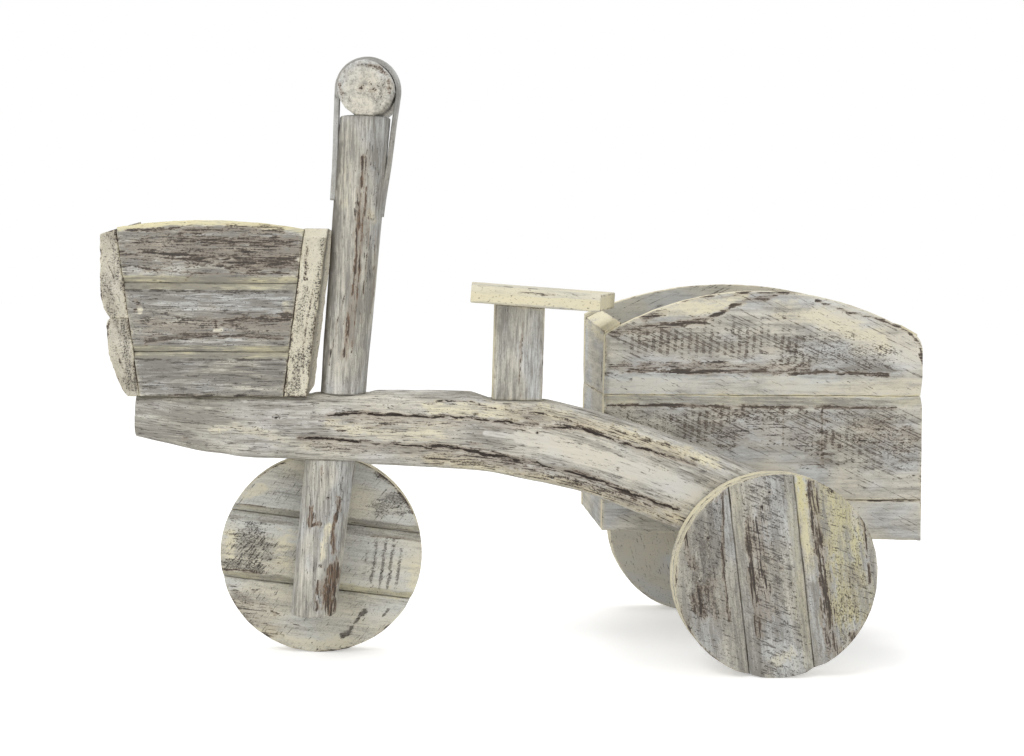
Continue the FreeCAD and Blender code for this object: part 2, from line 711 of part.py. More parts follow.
def strap_pad(body, thickness, width):
    """A strip that runs up beside the post, over the log and down again, with its inside on
    the strap's own."""
    inner = "(log_radius + strap_log_gap)"
    outer = "(%s + %s)" % (inner, thickness)
    front = "(strap_front_half - strap_thickness)"
    rear = "(strap_rear_half - strap_thickness)"
    outline = [
        ("-%s - %s" % (front, thickness), "-strap_front_length"),
        ("-" + front, "-strap_front_length"),
        ("-" + inner, "0", inner, "in"),
        ("0", inner, inner, "in"),
        (inner, "0"),
        (rear, "-strap_rear_length"),
        ("%s + %s" % (rear, thickness), "-strap_rear_length"),
        (outer, "0", outer, "out"),
        ("0", outer, outer, "out"),
        ("-" + outer, "0"),
    ]
    feature = pad(body, outline, width)
    feature.SideType = "Symmetric"


def handlebar_strap():
    """The thin slat bent over the log and fixed to both sides of the post."""
    body = new_body("handlebar_strap")
    strap_pad(body, "strap_thickness", "strap_width")
    keep(body, "handlebar_strap", strap_frame())


# The seat


def seat_frame():
    """The seat's own frame: its underside, over the seat post's axis."""
    return place("-" + SEAT_DISTANCE, POST_Y, SEAT_HEIGHT,
                 (Y_AXIS, size("seat_slope_degrees")), (X_AXIS, size("seat_roll_degrees")))


def seat_screws():
    """Two screws down through the seat into its post."""
    down = Rotation(X_AXIS, 180)
    frame = seat_frame()
    return screws("seat_screws", "seat_screw_length", [
        frame.multiply(Placement(
            Vector(size("seat_post_width") * share, 0, size("seat_thickness")), down))
        for share in SEAT_SCREW_SHARES])


def seat_dowel():
    return dowel("seat_dowel", "seat_dowel_sink + dowel_depth",
                 place("-" + SEAT_DISTANCE, POST_Y, "seat_post_seat_height - seat_dowel_sink"))


def seat_board(holes):
    """A board with skew ends and a bevel along its near upper edge."""
    body = new_body("seat_board_blank")
    pad(body, [("-seat_front_near", "-seat_near_reach"), ("seat_back_near", "-seat_near_reach"),
               ("seat_back_far", "seat_far_reach"), ("-seat_front_far", "seat_far_reach")],
        "seat_thickness", "XY_Plane")
    near = -size("seat_near_reach")
    top = size("seat_thickness")
    chamfer(body, "seat_chamfer", "seat_chamfer",
            lambda edge, middle: abs(middle.y - near) < SAME_PLACE
            and abs(middle.z - top) < SAME_PLACE)
    body.Placement = seat_frame()
    cut("seat_board", body, holes)


def seat_post(holes):
    """A short upright board, its head sawn to the seat's slope."""
    length = SEAT_HEIGHT + " - seat_post_seat_height + overrun"
    blank = box("seat_post_blank", "seat_post_width", "seat_post_thickness", length,
                place("-%s - seat_post_width / 2" % SEAT_DISTANCE,
                      POST_Y + " - seat_post_thickness / 2", "seat_post_seat_height"))
    above = Placement(Vector(-size("seat_post_width"), -size("seat_post_thickness"), 0),
                      Rotation())
    waste = box("seat_post_waste", "2 * seat_post_width", "2 * seat_post_thickness",
                "3 * overrun", seat_frame().multiply(above))
    cut("seat_post", blank, holes + [waste])


# The basket


def basket_frame():
    """The basket's own frame: the middle of its bottom's near edge."""
    return place("-" + BASKET_DISTANCE, BASKET_Y, "basket_seat_height",
                 (Y_AXIS, -size("basket_degrees")))


def flare(height):
    """Middle of the basket to the inside of its leaning ends, at a height."""
    return "(basket_bottom_half + basket_flare * (%s) / basket_end_height)" % height


def basket_side(side, face, y):
    """Three boards between the slabs and the rear panel, the upper one with an arched edge."""
    rim = flare("basket_corner_height")
    crown_radius = "((%s ^ 2 + basket_crown ^ 2) / (2 * basket_crown))" % rim
    levels = ("0", "basket_lower_joint", "basket_upper_joint", "basket_corner_height")
    for number in (1, 2, 3):
        bottom = levels[number - 1]
        top = levels[number]
        body = new_body("basket_%s_board_%d" % (side, number))
        right_top = (flare(top), top)
        if number == 3:
            right_top = (flare(top), top, crown_radius, "out")
        pad(body, [("-" + flare(bottom), bottom), (flare(bottom), bottom), right_top,
                   ("-" + flare(top), top)], "basket_board")
        common = ("basket_bevel_width", "basket_bevel_depth", "basket_bottom_half + basket_flare")
        if number > 1:
            bevel(body, bottom, *common, "above", "basket_board", face)
        if number < 3:
            bevel(body, top, *common, "below", "basket_board", face)
        elif face == "near":
            chamfer(body, "basket_rim_chamfer", "basket_rim_chamfer",
                    lambda edge, middle: edge.Curve.TypeId == "Part::GeomCircle"
                    and abs(middle.y) < SAME_PLACE)
        keep(body, body.Name, basket_frame().multiply(Placement(Vector(0, size(y), 0),
                                                                Rotation())))


def basket_slabs():
    """Two half-round slabs that close the front, their sawn ends to the sides."""
    lower = new_body("basket_lower_slab")
    waist = "slab_waist_height"
    shoulder = "slab_shoulder_height"
    pad(lower, [
        ("-%s - slab_foot_thickness" % flare("0"), "0"),
        ("-" + flare("0"), "0"),
        ("-" + flare(waist), waist),
        ("-%s - slab_waist_thickness" % flare(waist), waist, "slab_nose_radius", "out"),
        ("-%s - slab_thickness" % flare(shoulder), shoulder, "slab_round_radius", "out"),
    ], BASKET_WIDTH)
    keep(lower, lower.Name, basket_frame())

    upper = new_body("basket_upper_slab")
    turn = waist + " + upper_slab_turn"
    ends = []
    for offset, rise in (("0", "0"), ("-" + BASKET_WIDTH, "upper_slab_rise")):
        top = "upper_slab_top + " + rise
        shoulder = top + " + basket_rim_chamfer"
        ends.append(draw_outline(upper, "XZ_Plane", [
            ("-%s - slab_waist_thickness" % flare(waist), waist),
            ("-" + flare(waist), waist),
            ("-" + flare(shoulder), shoulder),
            ("-upper_slab_face", top),
            ("-upper_slab_face", turn, "upper_slab_turn_radius", "out"),
        ], offset))
    loft(upper, ends)
    keep(upper, upper.Name, basket_frame())


def basket_rear_panel():
    """The thick panel that closes the basket towards the post."""
    body = new_body("basket_rear_panel")
    top = "rear_panel_height"
    pad(body, [(flare("0"), "0"), (flare("0") + " + rear_panel_thickness", "0"),
               (flare(top) + " + rear_panel_thickness", top), (flare(top), top)], BASKET_WIDTH)
    height = size(top)
    chamfer(body, "rear_panel_chamfer", "rear_panel_chamfer",
            lambda edge, middle: abs(middle.y) < SAME_PLACE
            and abs(middle.z - height) < SAME_PLACE)
    keep(body, body.Name, basket_frame())


def basket_floor():
    """Two floor boards. Both are laid on the sides' level, and the near one is screwed down."""
    frame = basket_frame()
    half = size("basket_bottom_half")
    width = size("basket_inside_width / 2")
    down = Rotation(X_AXIS, 180)
    screw_y = size("basket_board") + width / 2
    top = size("basket_board")
    holes = screws("basket_screws", "floor_screw_length", [
        frame.multiply(Placement(Vector(half * share, screw_y, top), down))
        for share in FLOOR_SCREW_SHARES])
    for number in (1, 2):
        corner = Vector(-half, top + (number - 1) * width, 0)
        name = "basket_floor_board_%d" % number
        blank = box(name + "_blank", "2 * basket_bottom_half", "basket_inside_width / 2",
                    "basket_board", frame.multiply(Placement(corner, Rotation())))
        cut(name, blank, holes)
    return holes


# The rear box


def box_frame():
    """The box's own frame: its near face, at the long joint, over the rear wheel's centre."""
    return place("0", BOX_Y, "box_height", (Y_AXIS, -size("box_degrees")))


def box_offset(x, y, z, rotation=None):
    """A placement inside the box's frame."""
    local = Placement(Vector(size(x), size(y), size(z)), rotation or Rotation())
    return box_frame().multiply(local)


def rear_edge(height):
    """The sides' leaning rear edge at a height from the long joint."""
    return "(box_rear_reach - box_rear_splay * (%s) / (box_board_width + box_rear_strip))" % height


def arch(rise, radius, x):
    """Height of an arched edge above the long joint."""
    return "(%s - %s + sqrt(%s ^ 2 - (%s) ^ 2))" % (rise, radius, radius, x)


def box_side(side, face, y, rise, radius, holes):
    """A bottom strip, a middle board and an arched board."""
    front = "-box_front_reach"
    low = "-box_board_width"
    corner_x = "(box_rear_reach - arch_corner_inset)"
    corner_z = "%s - arch_corner_drop" % arch(rise, radius, corner_x)
    outlines = (
        [(front, low + " - box_front_strip"),
         (rear_edge(low + " - box_rear_strip"), low + " - box_rear_strip"),
         (rear_edge(low), low), (front, low)],
        [(front, low), (rear_edge(low), low), (rear_edge("0"), "0"), (front, "0")],
        [(front, "0"), (rear_edge("0"), "0"),
         (rear_edge(corner_z), corner_z, "arch_corner_radius", "out"),
         (corner_x, arch(rise, radius, corner_x), radius, "out"),
         (front, arch(rise, radius, front))],
    )
    for number, outline in enumerate(outlines, start=1):
        name = "box_%s_board_%d" % (side, number)
        body = new_body(name + "_blank")
        pad(body, outline, "box_board")
        reach = "box_rear_reach + box_rear_splay"
        if number == 2:
            bevel(body, "0", "box_lower_bevel", "box_bevel_depth", reach, "below", "box_board", face)
        if number == 3:
            bevel(body, "0", "box_upper_bevel", "box_bevel_depth", reach, "above", "box_board", face)
        body.Placement = box_offset("0", y, "0")
        cut(name, body, holes)


def box_walls():
    """Two boards each in front and behind, between the sides. Their tops follow the sides."""
    inside = "box_inside_width"
    strip = "box_board_width + box_front_strip"
    ends = (
        ("front", "-box_front_reach", "box_wall", "wall_top_near", "wall_top_far"),
        ("rear", "box_rear_reach - rear_wall_inset", "-box_wall", "wall_top_near", "wall_top_far"),
    )
    for end, face, inward, near_top, far_top in ends:
        lower = box("box_%s_board_1" % end, "box_wall", inside, strip, Placement())
        corner = face if end == "front" else face + " - box_wall"
        keep(lower, "box_%s_board_1" % end, box_offset(corner, "box_board", "-(%s)" % strip))
        upper = new_body("box_%s_board_2" % end)
        sections = []
        for offset, top in (("0", near_top), ("-" + inside, far_top)):
            outside_first = [("0", "0"), (inward, "0"), (inward, top + " + wall_top_fall"),
                             ("0", top)]
            if end == "rear":
                outside_first = [outside_first[index] for index in (1, 0, 3, 2)]
            sections.append(draw_outline(upper, "XZ_Plane", outside_first, offset))
        loft(upper, sections)
        keep(upper, upper.Name, box_offset(face, "box_board", "0"))


def box_floor():
    """Two floor boards between the walls and the sides, notched round the battens."""
    length = "box_front_reach + box_rear_reach - rear_wall_inset - 2 * box_wall"
    corners = batten_corners()
    for number in (1, 2):
        name = "box_floor_board_%d" % number
        y = "box_board + %d * box_inside_width / 2" % (number - 1)
        blank = box(name + "_blank", length, "box_inside_width / 2", "box_board",
                    box_offset("-box_front_reach + box_wall", y, "-box_floor_drop"))
        notches = [box("%s_notch_%d" % (name, index), "batten_size", "batten_size",
                       "box_board + 2 * overrun", box_offset(x, y, "-box_floor_drop - overrun"))
                   for index, (x, y) in enumerate(corners[number - 1::2], start=1)]
        cut(name, blank, notches)


def batten_corners():
    """Where the four battens stand: front and back, each near and far."""
    front = "-box_front_reach + box_wall"
    back = "box_rear_reach - rear_wall_inset - box_wall - batten_size"
    near = "box_board"
    far = "box_board + box_inside_width - batten_size"
    return [(front, near), (front, far), (back, near), (back, far)]


def box_battens():
    """A squared batten in each corner, from the floor's underside up."""
    for number, (x, y) in enumerate(batten_corners(), start=1):
        name = "box_batten_%d" % number
        batten = box(name, "batten_size", "batten_size", "batten_top + box_floor_drop",
                     Placement())
        keep(batten, name, box_offset(x, y, "-box_floor_drop"))


def box_screws():
    """Screws from inside the box through its near side into the beam."""
    towards_beam = Rotation(X_AXIS, 90)
    return screws("box_screws", "box_screw_length", [
        box_offset("box_front_reach * %g" % x, "box_board", "box_board_width * %g" % z,
                   towards_beam)
        for x, z in BOX_SCREW_SHARES])


def block_screws():
    """Screws from inside the box through its far side into the wheel block."""
    return screws("block_screws", "block_screw_length", [
        place("-block_shift + block_width * %g" % x, BOX_FAR_Y, "block_top * %g" % z,
              (X_AXIS, -90))
        for x, z in BLOCK_SCREW_SHARES])


def far_wheel_block(holes):
    """The block that carries the far wheel on the box."""
    blank = box("far_wheel_block_blank", "block_width", "block_thickness",
                "block_top + block_bottom",
                place("-block_shift - block_width / 2", BLOCK_Y, "-block_bottom"))
    cut("far_wheel_block", blank, holes)


# The whole stand

near_holes = near_wheel()
far_holes = far_wheel()
front_holes = front_wheel()
post_hole = steering_dowel()
log_holes = handlebar_screw()
steering_post([post_hole] + log_holes)
fork_leg([post_hole] + front_holes)
handlebar_log(log_holes)
handlebar_strap()
seat_holes = seat_screws()
seat_hole = seat_dowel()
seat_board(seat_holes)
seat_post(seat_holes + [seat_hole])
basket_slabs()
basket_rear_panel()
basket_side("near", "near", "0")
basket_side("far", "far", "basket_board + basket_inside_width")
floor_holes = basket_floor()
side_holes = box_screws()
block_holes = block_screws()
box_side("near", "near", "0", "near_arch_rise", "near_arch_radius", side_holes)
box_side("far", "far", "box_board + box_inside_width", "far_arch_rise", "far_arch_radius",
         block_holes)
box_walls()
box_floor()
box_battens()
far_wheel_block(block_holes + far_holes)
beam(near_holes + floor_holes + side_holes + [post_hole, seat_hole])

document.recompute()
for item in document.Objects:
    if "Invalid" in item.State or "Error" in item.State:
        raise RuntimeError("failed object: %s" % item.Label)

bounds = FreeCAD.BoundBox()
for node in nodes:
    bounds.add(node.Shape.BoundBox)
to_origin = Placement(Vector(-bounds.Center.x, -bounds.Center.y, -bounds.ZMin), Rotation())
for node in nodes:
    node.Placement = to_origin.multiply(node.Placement)
document.recompute()

os.makedirs("parts", exist_ok=True)
whole = FreeCAD.BoundBox()
for node in nodes:
    shape = node.Shape
    if shape.isNull() or not shape.isValid() or not shape.Solids:
        raise RuntimeError("bad shape: %s" % node.Label)
    whole.add(shape.BoundBox)
    shape.exportStep("parts/%s.step" % node.Label)
    print("%-24s solids %d  volume %9.0f" % (node.Label, len(shape.Solids), shape.Volume))
print("nodes %d" % len(nodes))
print("X %.2f to %.2f" % (whole.XMin, whole.XMax))
print("Y %.2f to %.2f" % (whole.YMin, whole.YMax))
print("Z %.2f to %.2f" % (whole.ZMin, whole.ZMax))
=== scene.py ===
# %% [markdown]
# # A whitewashed planter stand in the form of a tricycle
# The stand is made of sawn boards, two round branches and one bent one. All of it was brushed
# with thin white paint and rubbed back, so brown wood shows in streaks, cracks and edges. The
# solids come from the frame, and each cell dresses one kind of piece as rough wood: it takes the
# solid's place with a finer surface that keeps the solid's size.

import math

import bpy
import numpy as np
from mathutils import Matrix, Vector


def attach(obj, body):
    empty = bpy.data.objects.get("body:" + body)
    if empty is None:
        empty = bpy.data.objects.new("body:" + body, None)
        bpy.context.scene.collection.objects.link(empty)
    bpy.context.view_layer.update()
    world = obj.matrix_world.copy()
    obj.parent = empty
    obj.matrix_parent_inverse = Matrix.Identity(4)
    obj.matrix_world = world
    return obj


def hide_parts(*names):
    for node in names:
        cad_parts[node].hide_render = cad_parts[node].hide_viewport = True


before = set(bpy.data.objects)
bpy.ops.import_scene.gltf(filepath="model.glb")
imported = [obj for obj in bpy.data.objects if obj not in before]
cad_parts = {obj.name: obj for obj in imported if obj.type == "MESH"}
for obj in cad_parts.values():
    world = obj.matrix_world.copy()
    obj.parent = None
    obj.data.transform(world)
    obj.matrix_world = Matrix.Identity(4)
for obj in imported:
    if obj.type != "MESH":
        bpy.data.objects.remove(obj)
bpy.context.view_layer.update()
scene = bpy.context.scene
scene.view_settings.view_transform = "Standard"

# %% [markdown]
# ## The camera
# The lens and the place of the camera follow the picture: a little above the stand and well
# away from it, with a slight roll. Where level lines meet in the picture gives the way of each
# of the stand's axes as the camera sees them. With the three as rows of a table, its columns are
# the camera's own axes.

# %% The camera
FOCAL_PIXELS = 1400
IMAGE_WIDTH = 1024
SENSOR = 36
HORIZON_SLOPE, HORIZON_ROW = 0.030, 272.0
DEPTH_COLUMN = 398.0
MIDDLE = np.array([512.0, 378.0])
AIM_PIXEL = np.array([777.5, 577.0])
AIM_POINT = (0.212, -0.133, 0.0885)
AIM_DISTANCE = 1.2


def unit(vector):
    """A vector of the same direction and a length of 1."""
    return np.asarray(vector, float) / np.linalg.norm(vector)


def seen(pixel):
    """The way from the camera to a pixel, with the depth in front of it as 1."""
    return np.append((np.array(pixel) - MIDDLE) / FOCAL_PIXELS, 1)


up_seen = unit([HORIZON_SLOPE, -1, (HORIZON_ROW - MIDDLE[1]) / FOCAL_PIXELS])
depth_row = HORIZON_ROW + HORIZON_SLOPE * (DEPTH_COLUMN - MIDDLE[0])
away_seen = unit(seen((DEPTH_COLUMN, depth_row)))
right_seen = np.cross(away_seen, up_seen)
right_seen *= np.sign(right_seen[0])
axes_seen = np.array([right_seen, away_seen, up_seen])
eye = np.array(AIM_POINT) - axes_seen @ seen(AIM_PIXEL) * AIM_DISTANCE
turn = Matrix(np.column_stack([axes_seen[:, 0], -axes_seen[:, 1], -axes_seen[:, 2]]).tolist())
camera = bpy.data.objects.new("camera", bpy.data.cameras.new("camera"))
camera.data.sensor_width = SENSOR
camera.data.lens = FOCAL_PIXELS / IMAGE_WIDTH * SENSOR
camera.matrix_world = Matrix.Translation(Vector(eye)) @ turn.to_4x4()
scene.collection.objects.link(camera)
scene.camera = camera
print("eye", eye.round(4), "lens", round(camera.data.lens, 2))

# %% [markdown]
# ## Uneven surfaces
# Sawn and split wood is never quite flat. Each surface below is a grid of points worked out as
# whole arrays, and two small functions bend it: smooth noise on a lattice, and layers of that
# noise, each half as long and half as high as the one before.

# %% Noise
LATTICE = 64


def lattice_noise(x, y, seed):
    """Smooth noise from -1 to 1: random values on a unit lattice, eased from each to the next."""
    table = np.random.default_rng(seed).uniform(-1, 1, (LATTICE, LATTICE))
    column, row = np.floor(x).astype(int), np.floor(y).astype(int)
    across, up = x - column, y - row
    across, up = across * across * (3 - 2 * across), up * up * (3 - 2 * up)

    def corner(i, j):
        """The table's value one step on in either direction, which repeats past its edge."""
        return table[(column + i) % LATTICE, (row + j) % LATTICE]

    lower = corner(0, 0) * (1 - across) + corner(1, 0) * across
    upper = corner(0, 1) * (1 - across) + corner(1, 1) * across
    return lower * (1 - up) + upper * up


def layered_noise(x, y, length, height, seed, layers=3):
    """Noise in patches of a length and height, plus finer layers at half the size and force."""
    return sum(lattice_noise(x / length * 2 ** n, y / height * 2 ** n, seed + n) / 2 ** n
               for n in range(layers))


def ease(values, start, end):
    """0 below start, 1 above end, and between them 3s² - 2s³ of the share s."""
    share = np.clip((values - start) / (end - start), 0, 1)
    return share * share * (3 - 2 * share)


print("noise on a lattice of", LATTICE, "by", LATTICE)

# %% [markdown]
# ## Marks of wear
# What makes each board its own is where the paint has gone. A mark is a short brush line in
# millimetres on the board's face, with a kind, a width and a strength. The marks become eight
# layers that the paint reads: bare wood, dark flecks, cream paint, a thicker or thinner layer of
# paint that also holds painted light and painted shade, dirt that also holds painted shade,
# cracks, saw marks and yellowed paint. Most kinds of mark are the layer of their name.
# The others are things that a hand would paint in several layers: a nail hole with a worn ring,
# a crack with bare lips, a smooth patch, a plug of paint, a comb of saw teeth or a dark stroke.

# %% Marks
LAYERS = ("bare", "fleck", "cream", "coat_light_and_shade", "grime_and_shade", "crack", "saw", "yellow")

# For each kind, how much its edge frays on long and on short noise, and where it starts and ends
# to show, in half widths from its line.
PAINT_EDGE = (0.7, 0.3, 1.5, 0.3)
EDGES = {
    "hole": (0.25, 0, 1.1, 0.7),
    "knot": (0.25, 0, 1.1, 0.7),
    "crack": (1.1, 0.5, 1.3, 0.5),
    "smooth": (0.15, 0, 1.15, 0.75),
    "plug": (0.15, 0, 1.15, 0.8),
    "coat_light_and_shade": (0.2, 0, 1.2, 0.8),
    "comb": (0.3, 0, 1.2, 0.7),
    "dark": (0.7, 0.4, 1.3, 0.4),
}
# Which layers a kind clears away first, and which it adds, with their shares.
CLEARED = {"smooth": ("bare", "fleck", "cream", "crack"),
           "plug": ("bare", "fleck", "crack", "grime_and_shade")}
ADDED = {"hole": {"crack": 1}, "knot": {"crack": 1}, "smooth": {"coat_light_and_shade": 0.6},
         "plug": {"cream": 1, "coat_light_and_shade": 0.8}, "comb": {"fleck": 1},
         "dark": {"grime_and_shade": 1, "fleck": 1.5, "crack": 0.45}}
COMB_PITCH = 7.5


def distance_to(x, z, points):
    """Distance from each place to a line through the given points: the least over its parts
    of the distance to the nearest place on the part."""
    nearest = np.full(np.shape(x), 1e9)
    for (x0, z0), (x1, z1) in zip(points, points[1:] or points):
        dx, dz = x1 - x0, z1 - z0
        share = np.clip(((x - x0) * dx + (z - z0) * dz) / max(dx * dx + dz * dz, 1e-9), 0, 1)
        nearest = np.minimum(nearest, np.hypot(x - x0 - share * dx, z - z0 - share * dz))
    return nearest


def worn_layers(x, z, marks, seed, fibre=0, base=None):
    """The layers on a face that starts from an even base. A mark fades at a ragged edge, longer
    along the fibre, because paint peels unevenly. Layers of two marks don't add up: the stronger
    one shows."""
    found = {layer: np.full(np.shape(x), float((base or {}).get(layer, 0))) for layer in LAYERS}
    long_way, short_way = (z, x) if fibre == 1 else (x, z)
    ragged = layered_noise(long_way, short_way, 9, 2.5, seed)
    fine = layered_noise(long_way, short_way, 3, 1.1, seed + 7)
    wander = layered_noise(long_way, 0 * short_way, 11, 1, seed + 13)
    wandering = (x + wander, z) if fibre == 1 else (x, z + wander)

    def add(layer, values):
        found[layer] = np.maximum(found[layer], values)

    for kind, width, strength, points in marks:
        at = wandering if kind == "crack" else (x, z)
        away = distance_to(*at, points) / (width / 2)
        frayed, fuzzy, outer, inner = EDGES.get(kind, PAINT_EDGE)
        area = ease(frayed * ragged + fuzzy * fine - away, -outer, -inner)
        if kind == "coat_light_and_shade":
            found["coat_light_and_shade"] = found["coat_light_and_shade"] * (1 - area) + strength * area
            continue
        if kind == "comb":
            area = area * ease(np.sin(x * 2 * math.pi / COMB_PITCH + 0.6 * ragged), 0.1, 0.7)
        area = strength * area
        for layer in CLEARED.get(kind, ()):
            found[layer] = found[layer] * (1 - area)
        for layer, share in ADDED.get(kind, {kind: 1}).items():
            add(layer, share * area)
        if kind in ("hole", "knot"):
            add("bare", 0.6 * strength * np.exp(-((away - 1.5) / 0.5) ** 2))
        if kind == "crack":
            add("bare", 0.65 * strength * ease(-away, -5, -1))
    return found


print("layers", ", ".join(LAYERS))

# %% [markdown]
# ## From grids to pieces
# Every new piece ends here. Its points are in millimetres in its own frame, and two vectors say
# how that frame lies on the stand. The frame also gives the wood its direction: the attribute
# "grain" holds each point's place along and across the fibre, so end grain shows on sawn ends.

# %% Making a piece
MILLIMETRE = 0.001


def turned(degrees, vector):
    """A vector turned about the stand's crosswise axis, as the tilted boards are."""
    cosine, sine = math.cos(math.radians(degrees)), math.sin(math.radians(degrees))
    x, y, z = vector
    return np.array([x * cosine + z * sine, y, -x * sine + z * cosine])


def face_frame(origin, along, across):
    """A board's frame: its length, its width, and its depth away from the viewer of its face."""
    return np.array(origin, float), unit(along), unit(across), np.cross(unit(across), unit(along))


def turned_outwards(points, quads):
    """Faces whose outside faces out: the volume they enclose comes out above nothing."""
    a, b, c, d = (points[quads[:, corner]] for corner in range(4))
    volume = (a * (np.cross(b, c) + np.cross(c, d))).sum()
    return quads if volume > 0 else quads[:, ::-1]


def make_piece(name, points, quads, place, material, node, layers, fibre=0, seed=0,
               wood=None):
    """Put whole arrays of points and faces into a mesh that stands for a node. Each piece gets
    its wood from another place, up to 3 m away, so that no two boards have the same grain."""
    origin, along, across, inward = place
    world = origin + points[:, :1] * along + points[:, 1:2] * across + points[:, 2:] * inward
    quads = turned_outwards(world - world.mean(0), quads)
    mesh = bpy.data.meshes.new(name)
    mesh.from_pydata([], [], [])
    mesh.vertices.add(len(world))
    mesh.vertices.foreach_set("co", (world * MILLIMETRE).astype(np.float32).ravel())
    mesh.loops.add(quads.size)
    mesh.loops.foreach_set("vertex_index", quads.astype(np.int32).ravel())
    mesh.polygons.add(len(quads))
    mesh.polygons.foreach_set("loop_start", np.arange(0, quads.size, 4, dtype=np.int32))
    mesh.polygons.foreach_set("use_smooth", np.ones(len(quads), bool))
    mesh.update(calc_edges=True)
    mesh.validate()
    shift = np.random.default_rng(seed + 100).uniform(0, 3, 3)
    if wood is None:
        wood = points[:, [fibre] + [axis for axis in range(3) if axis != fibre]]
    grain = mesh.attributes.new("grain", "FLOAT_VECTOR", "POINT")
    grain.data.foreach_set("vector", (wood * MILLIMETRE + shift).astype(np.float32).ravel())
    for title, four in (("paint", LAYERS[:4]), ("marks", LAYERS[4:])):
        colour = np.column_stack([layers[layer] for layer in four]).astype(np.float32)
        attribute = mesh.attributes.new(title, "FLOAT_COLOR", "POINT")
        attribute.data.foreach_set("color", colour.ravel())
    mesh.materials.append(material)
    piece = bpy.data.objects.new(name, mesh)
    scene.collection.objects.link(piece)
    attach(piece, "root")
    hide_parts(node)
    return piece


print("millimetres are", MILLIMETRE, "m on the stand")

# %% [markdown]
# ## Colours and nodes
# A paint reads its colours as linear light, while a hex value is what the eye compares. So each
# colour is written as hex and turned to linear by one function, and one more adds a node.

# %% Colours and nodes
THIN_PAINT = "#84817a"
THICK_PAINT = "#c6c7c5"
WARM_PAINT = "#cdc8b9"
CREAM_PAINT = "#dad2b6"
YELLOW_PAINT = "#c3bb8c"
STAIN = "#a08e78"
WOOD = "#55473a"
DARK_WOOD = "#29221d"
CRACK = "#2e251e"
SAW_LINE = "#3f3933"
# This dark grey is the colour of dirt, and also of painted shade.
GRIME_AND_SHADE = "#5a554c"


def linear(text):
    """An sRGB colour written as hex, turned to linear light."""
    values = [int(text[i:i + 2], 16) / 255 for i in (1, 3, 5)]
    return [v / 12.92 if v <= 0.04045 else ((v + 0.055) / 1.055) ** 2.4 for v in values] + [1.0]


def add_node(tree, kind, links=(), **settings):
    """Add a node with its settings and inputs. An input is a value or another node's socket."""
    node = tree.nodes.new(kind)
    for key, value in settings.items():
        setattr(node, key, value)
    for socket, value in dict(links).items():
        if isinstance(value, bpy.types.NodeSocket):
            tree.links.new(value, node.inputs[socket])
        else:
            node.inputs[socket].default_value = value
    return node


def new_material(name):
    """An empty material, and its tree of nodes."""
    material = bpy.data.materials.new(name)
    material.use_nodes = True
    material.node_tree.nodes.clear()
    return material, material.node_tree


print("colours", THIN_PAINT, "to", THICK_PAINT, "over", WOOD)

# %% [markdown]
# ## Limed wood
# Whitewash is thin water paint, brushed on bare wood and rubbed back. It stays in the pores and
# thins on ridges, so its cover follows the fibre. Chalky paint hardly shines, so it is rough, and
# the wood beneath only a little less. Coarse saw teeth left lines across the boards, which hold
# dark wood where the paint missed them. A picture of wood would repeat and show seams. Noise that
# is stretched along the fibre runs on through a board and out at its sawn ends.

# %% Limed wood
# How often each pattern changes in a metre, along and across the fibre. So fibres are 1.6 mm
# wide and 20 mm long, strands 5 by 71 mm, blotches 24 by 42 mm, regions 43 by 77 mm, pores 1.2 by
# 1.9 mm and dashes 1.4 mm wide. Real pores are finer: these are as coarse as the picture shows.
FIBRES = (50, 640)
STRANDS = (14, 190)
BLOTCHES = (24, 42)
REGIONS = (13, 23)
PORES = (520, 820)
DASHES_ACROSS = 720
METRE = 1000
BUMP_DEPTH = 0.5


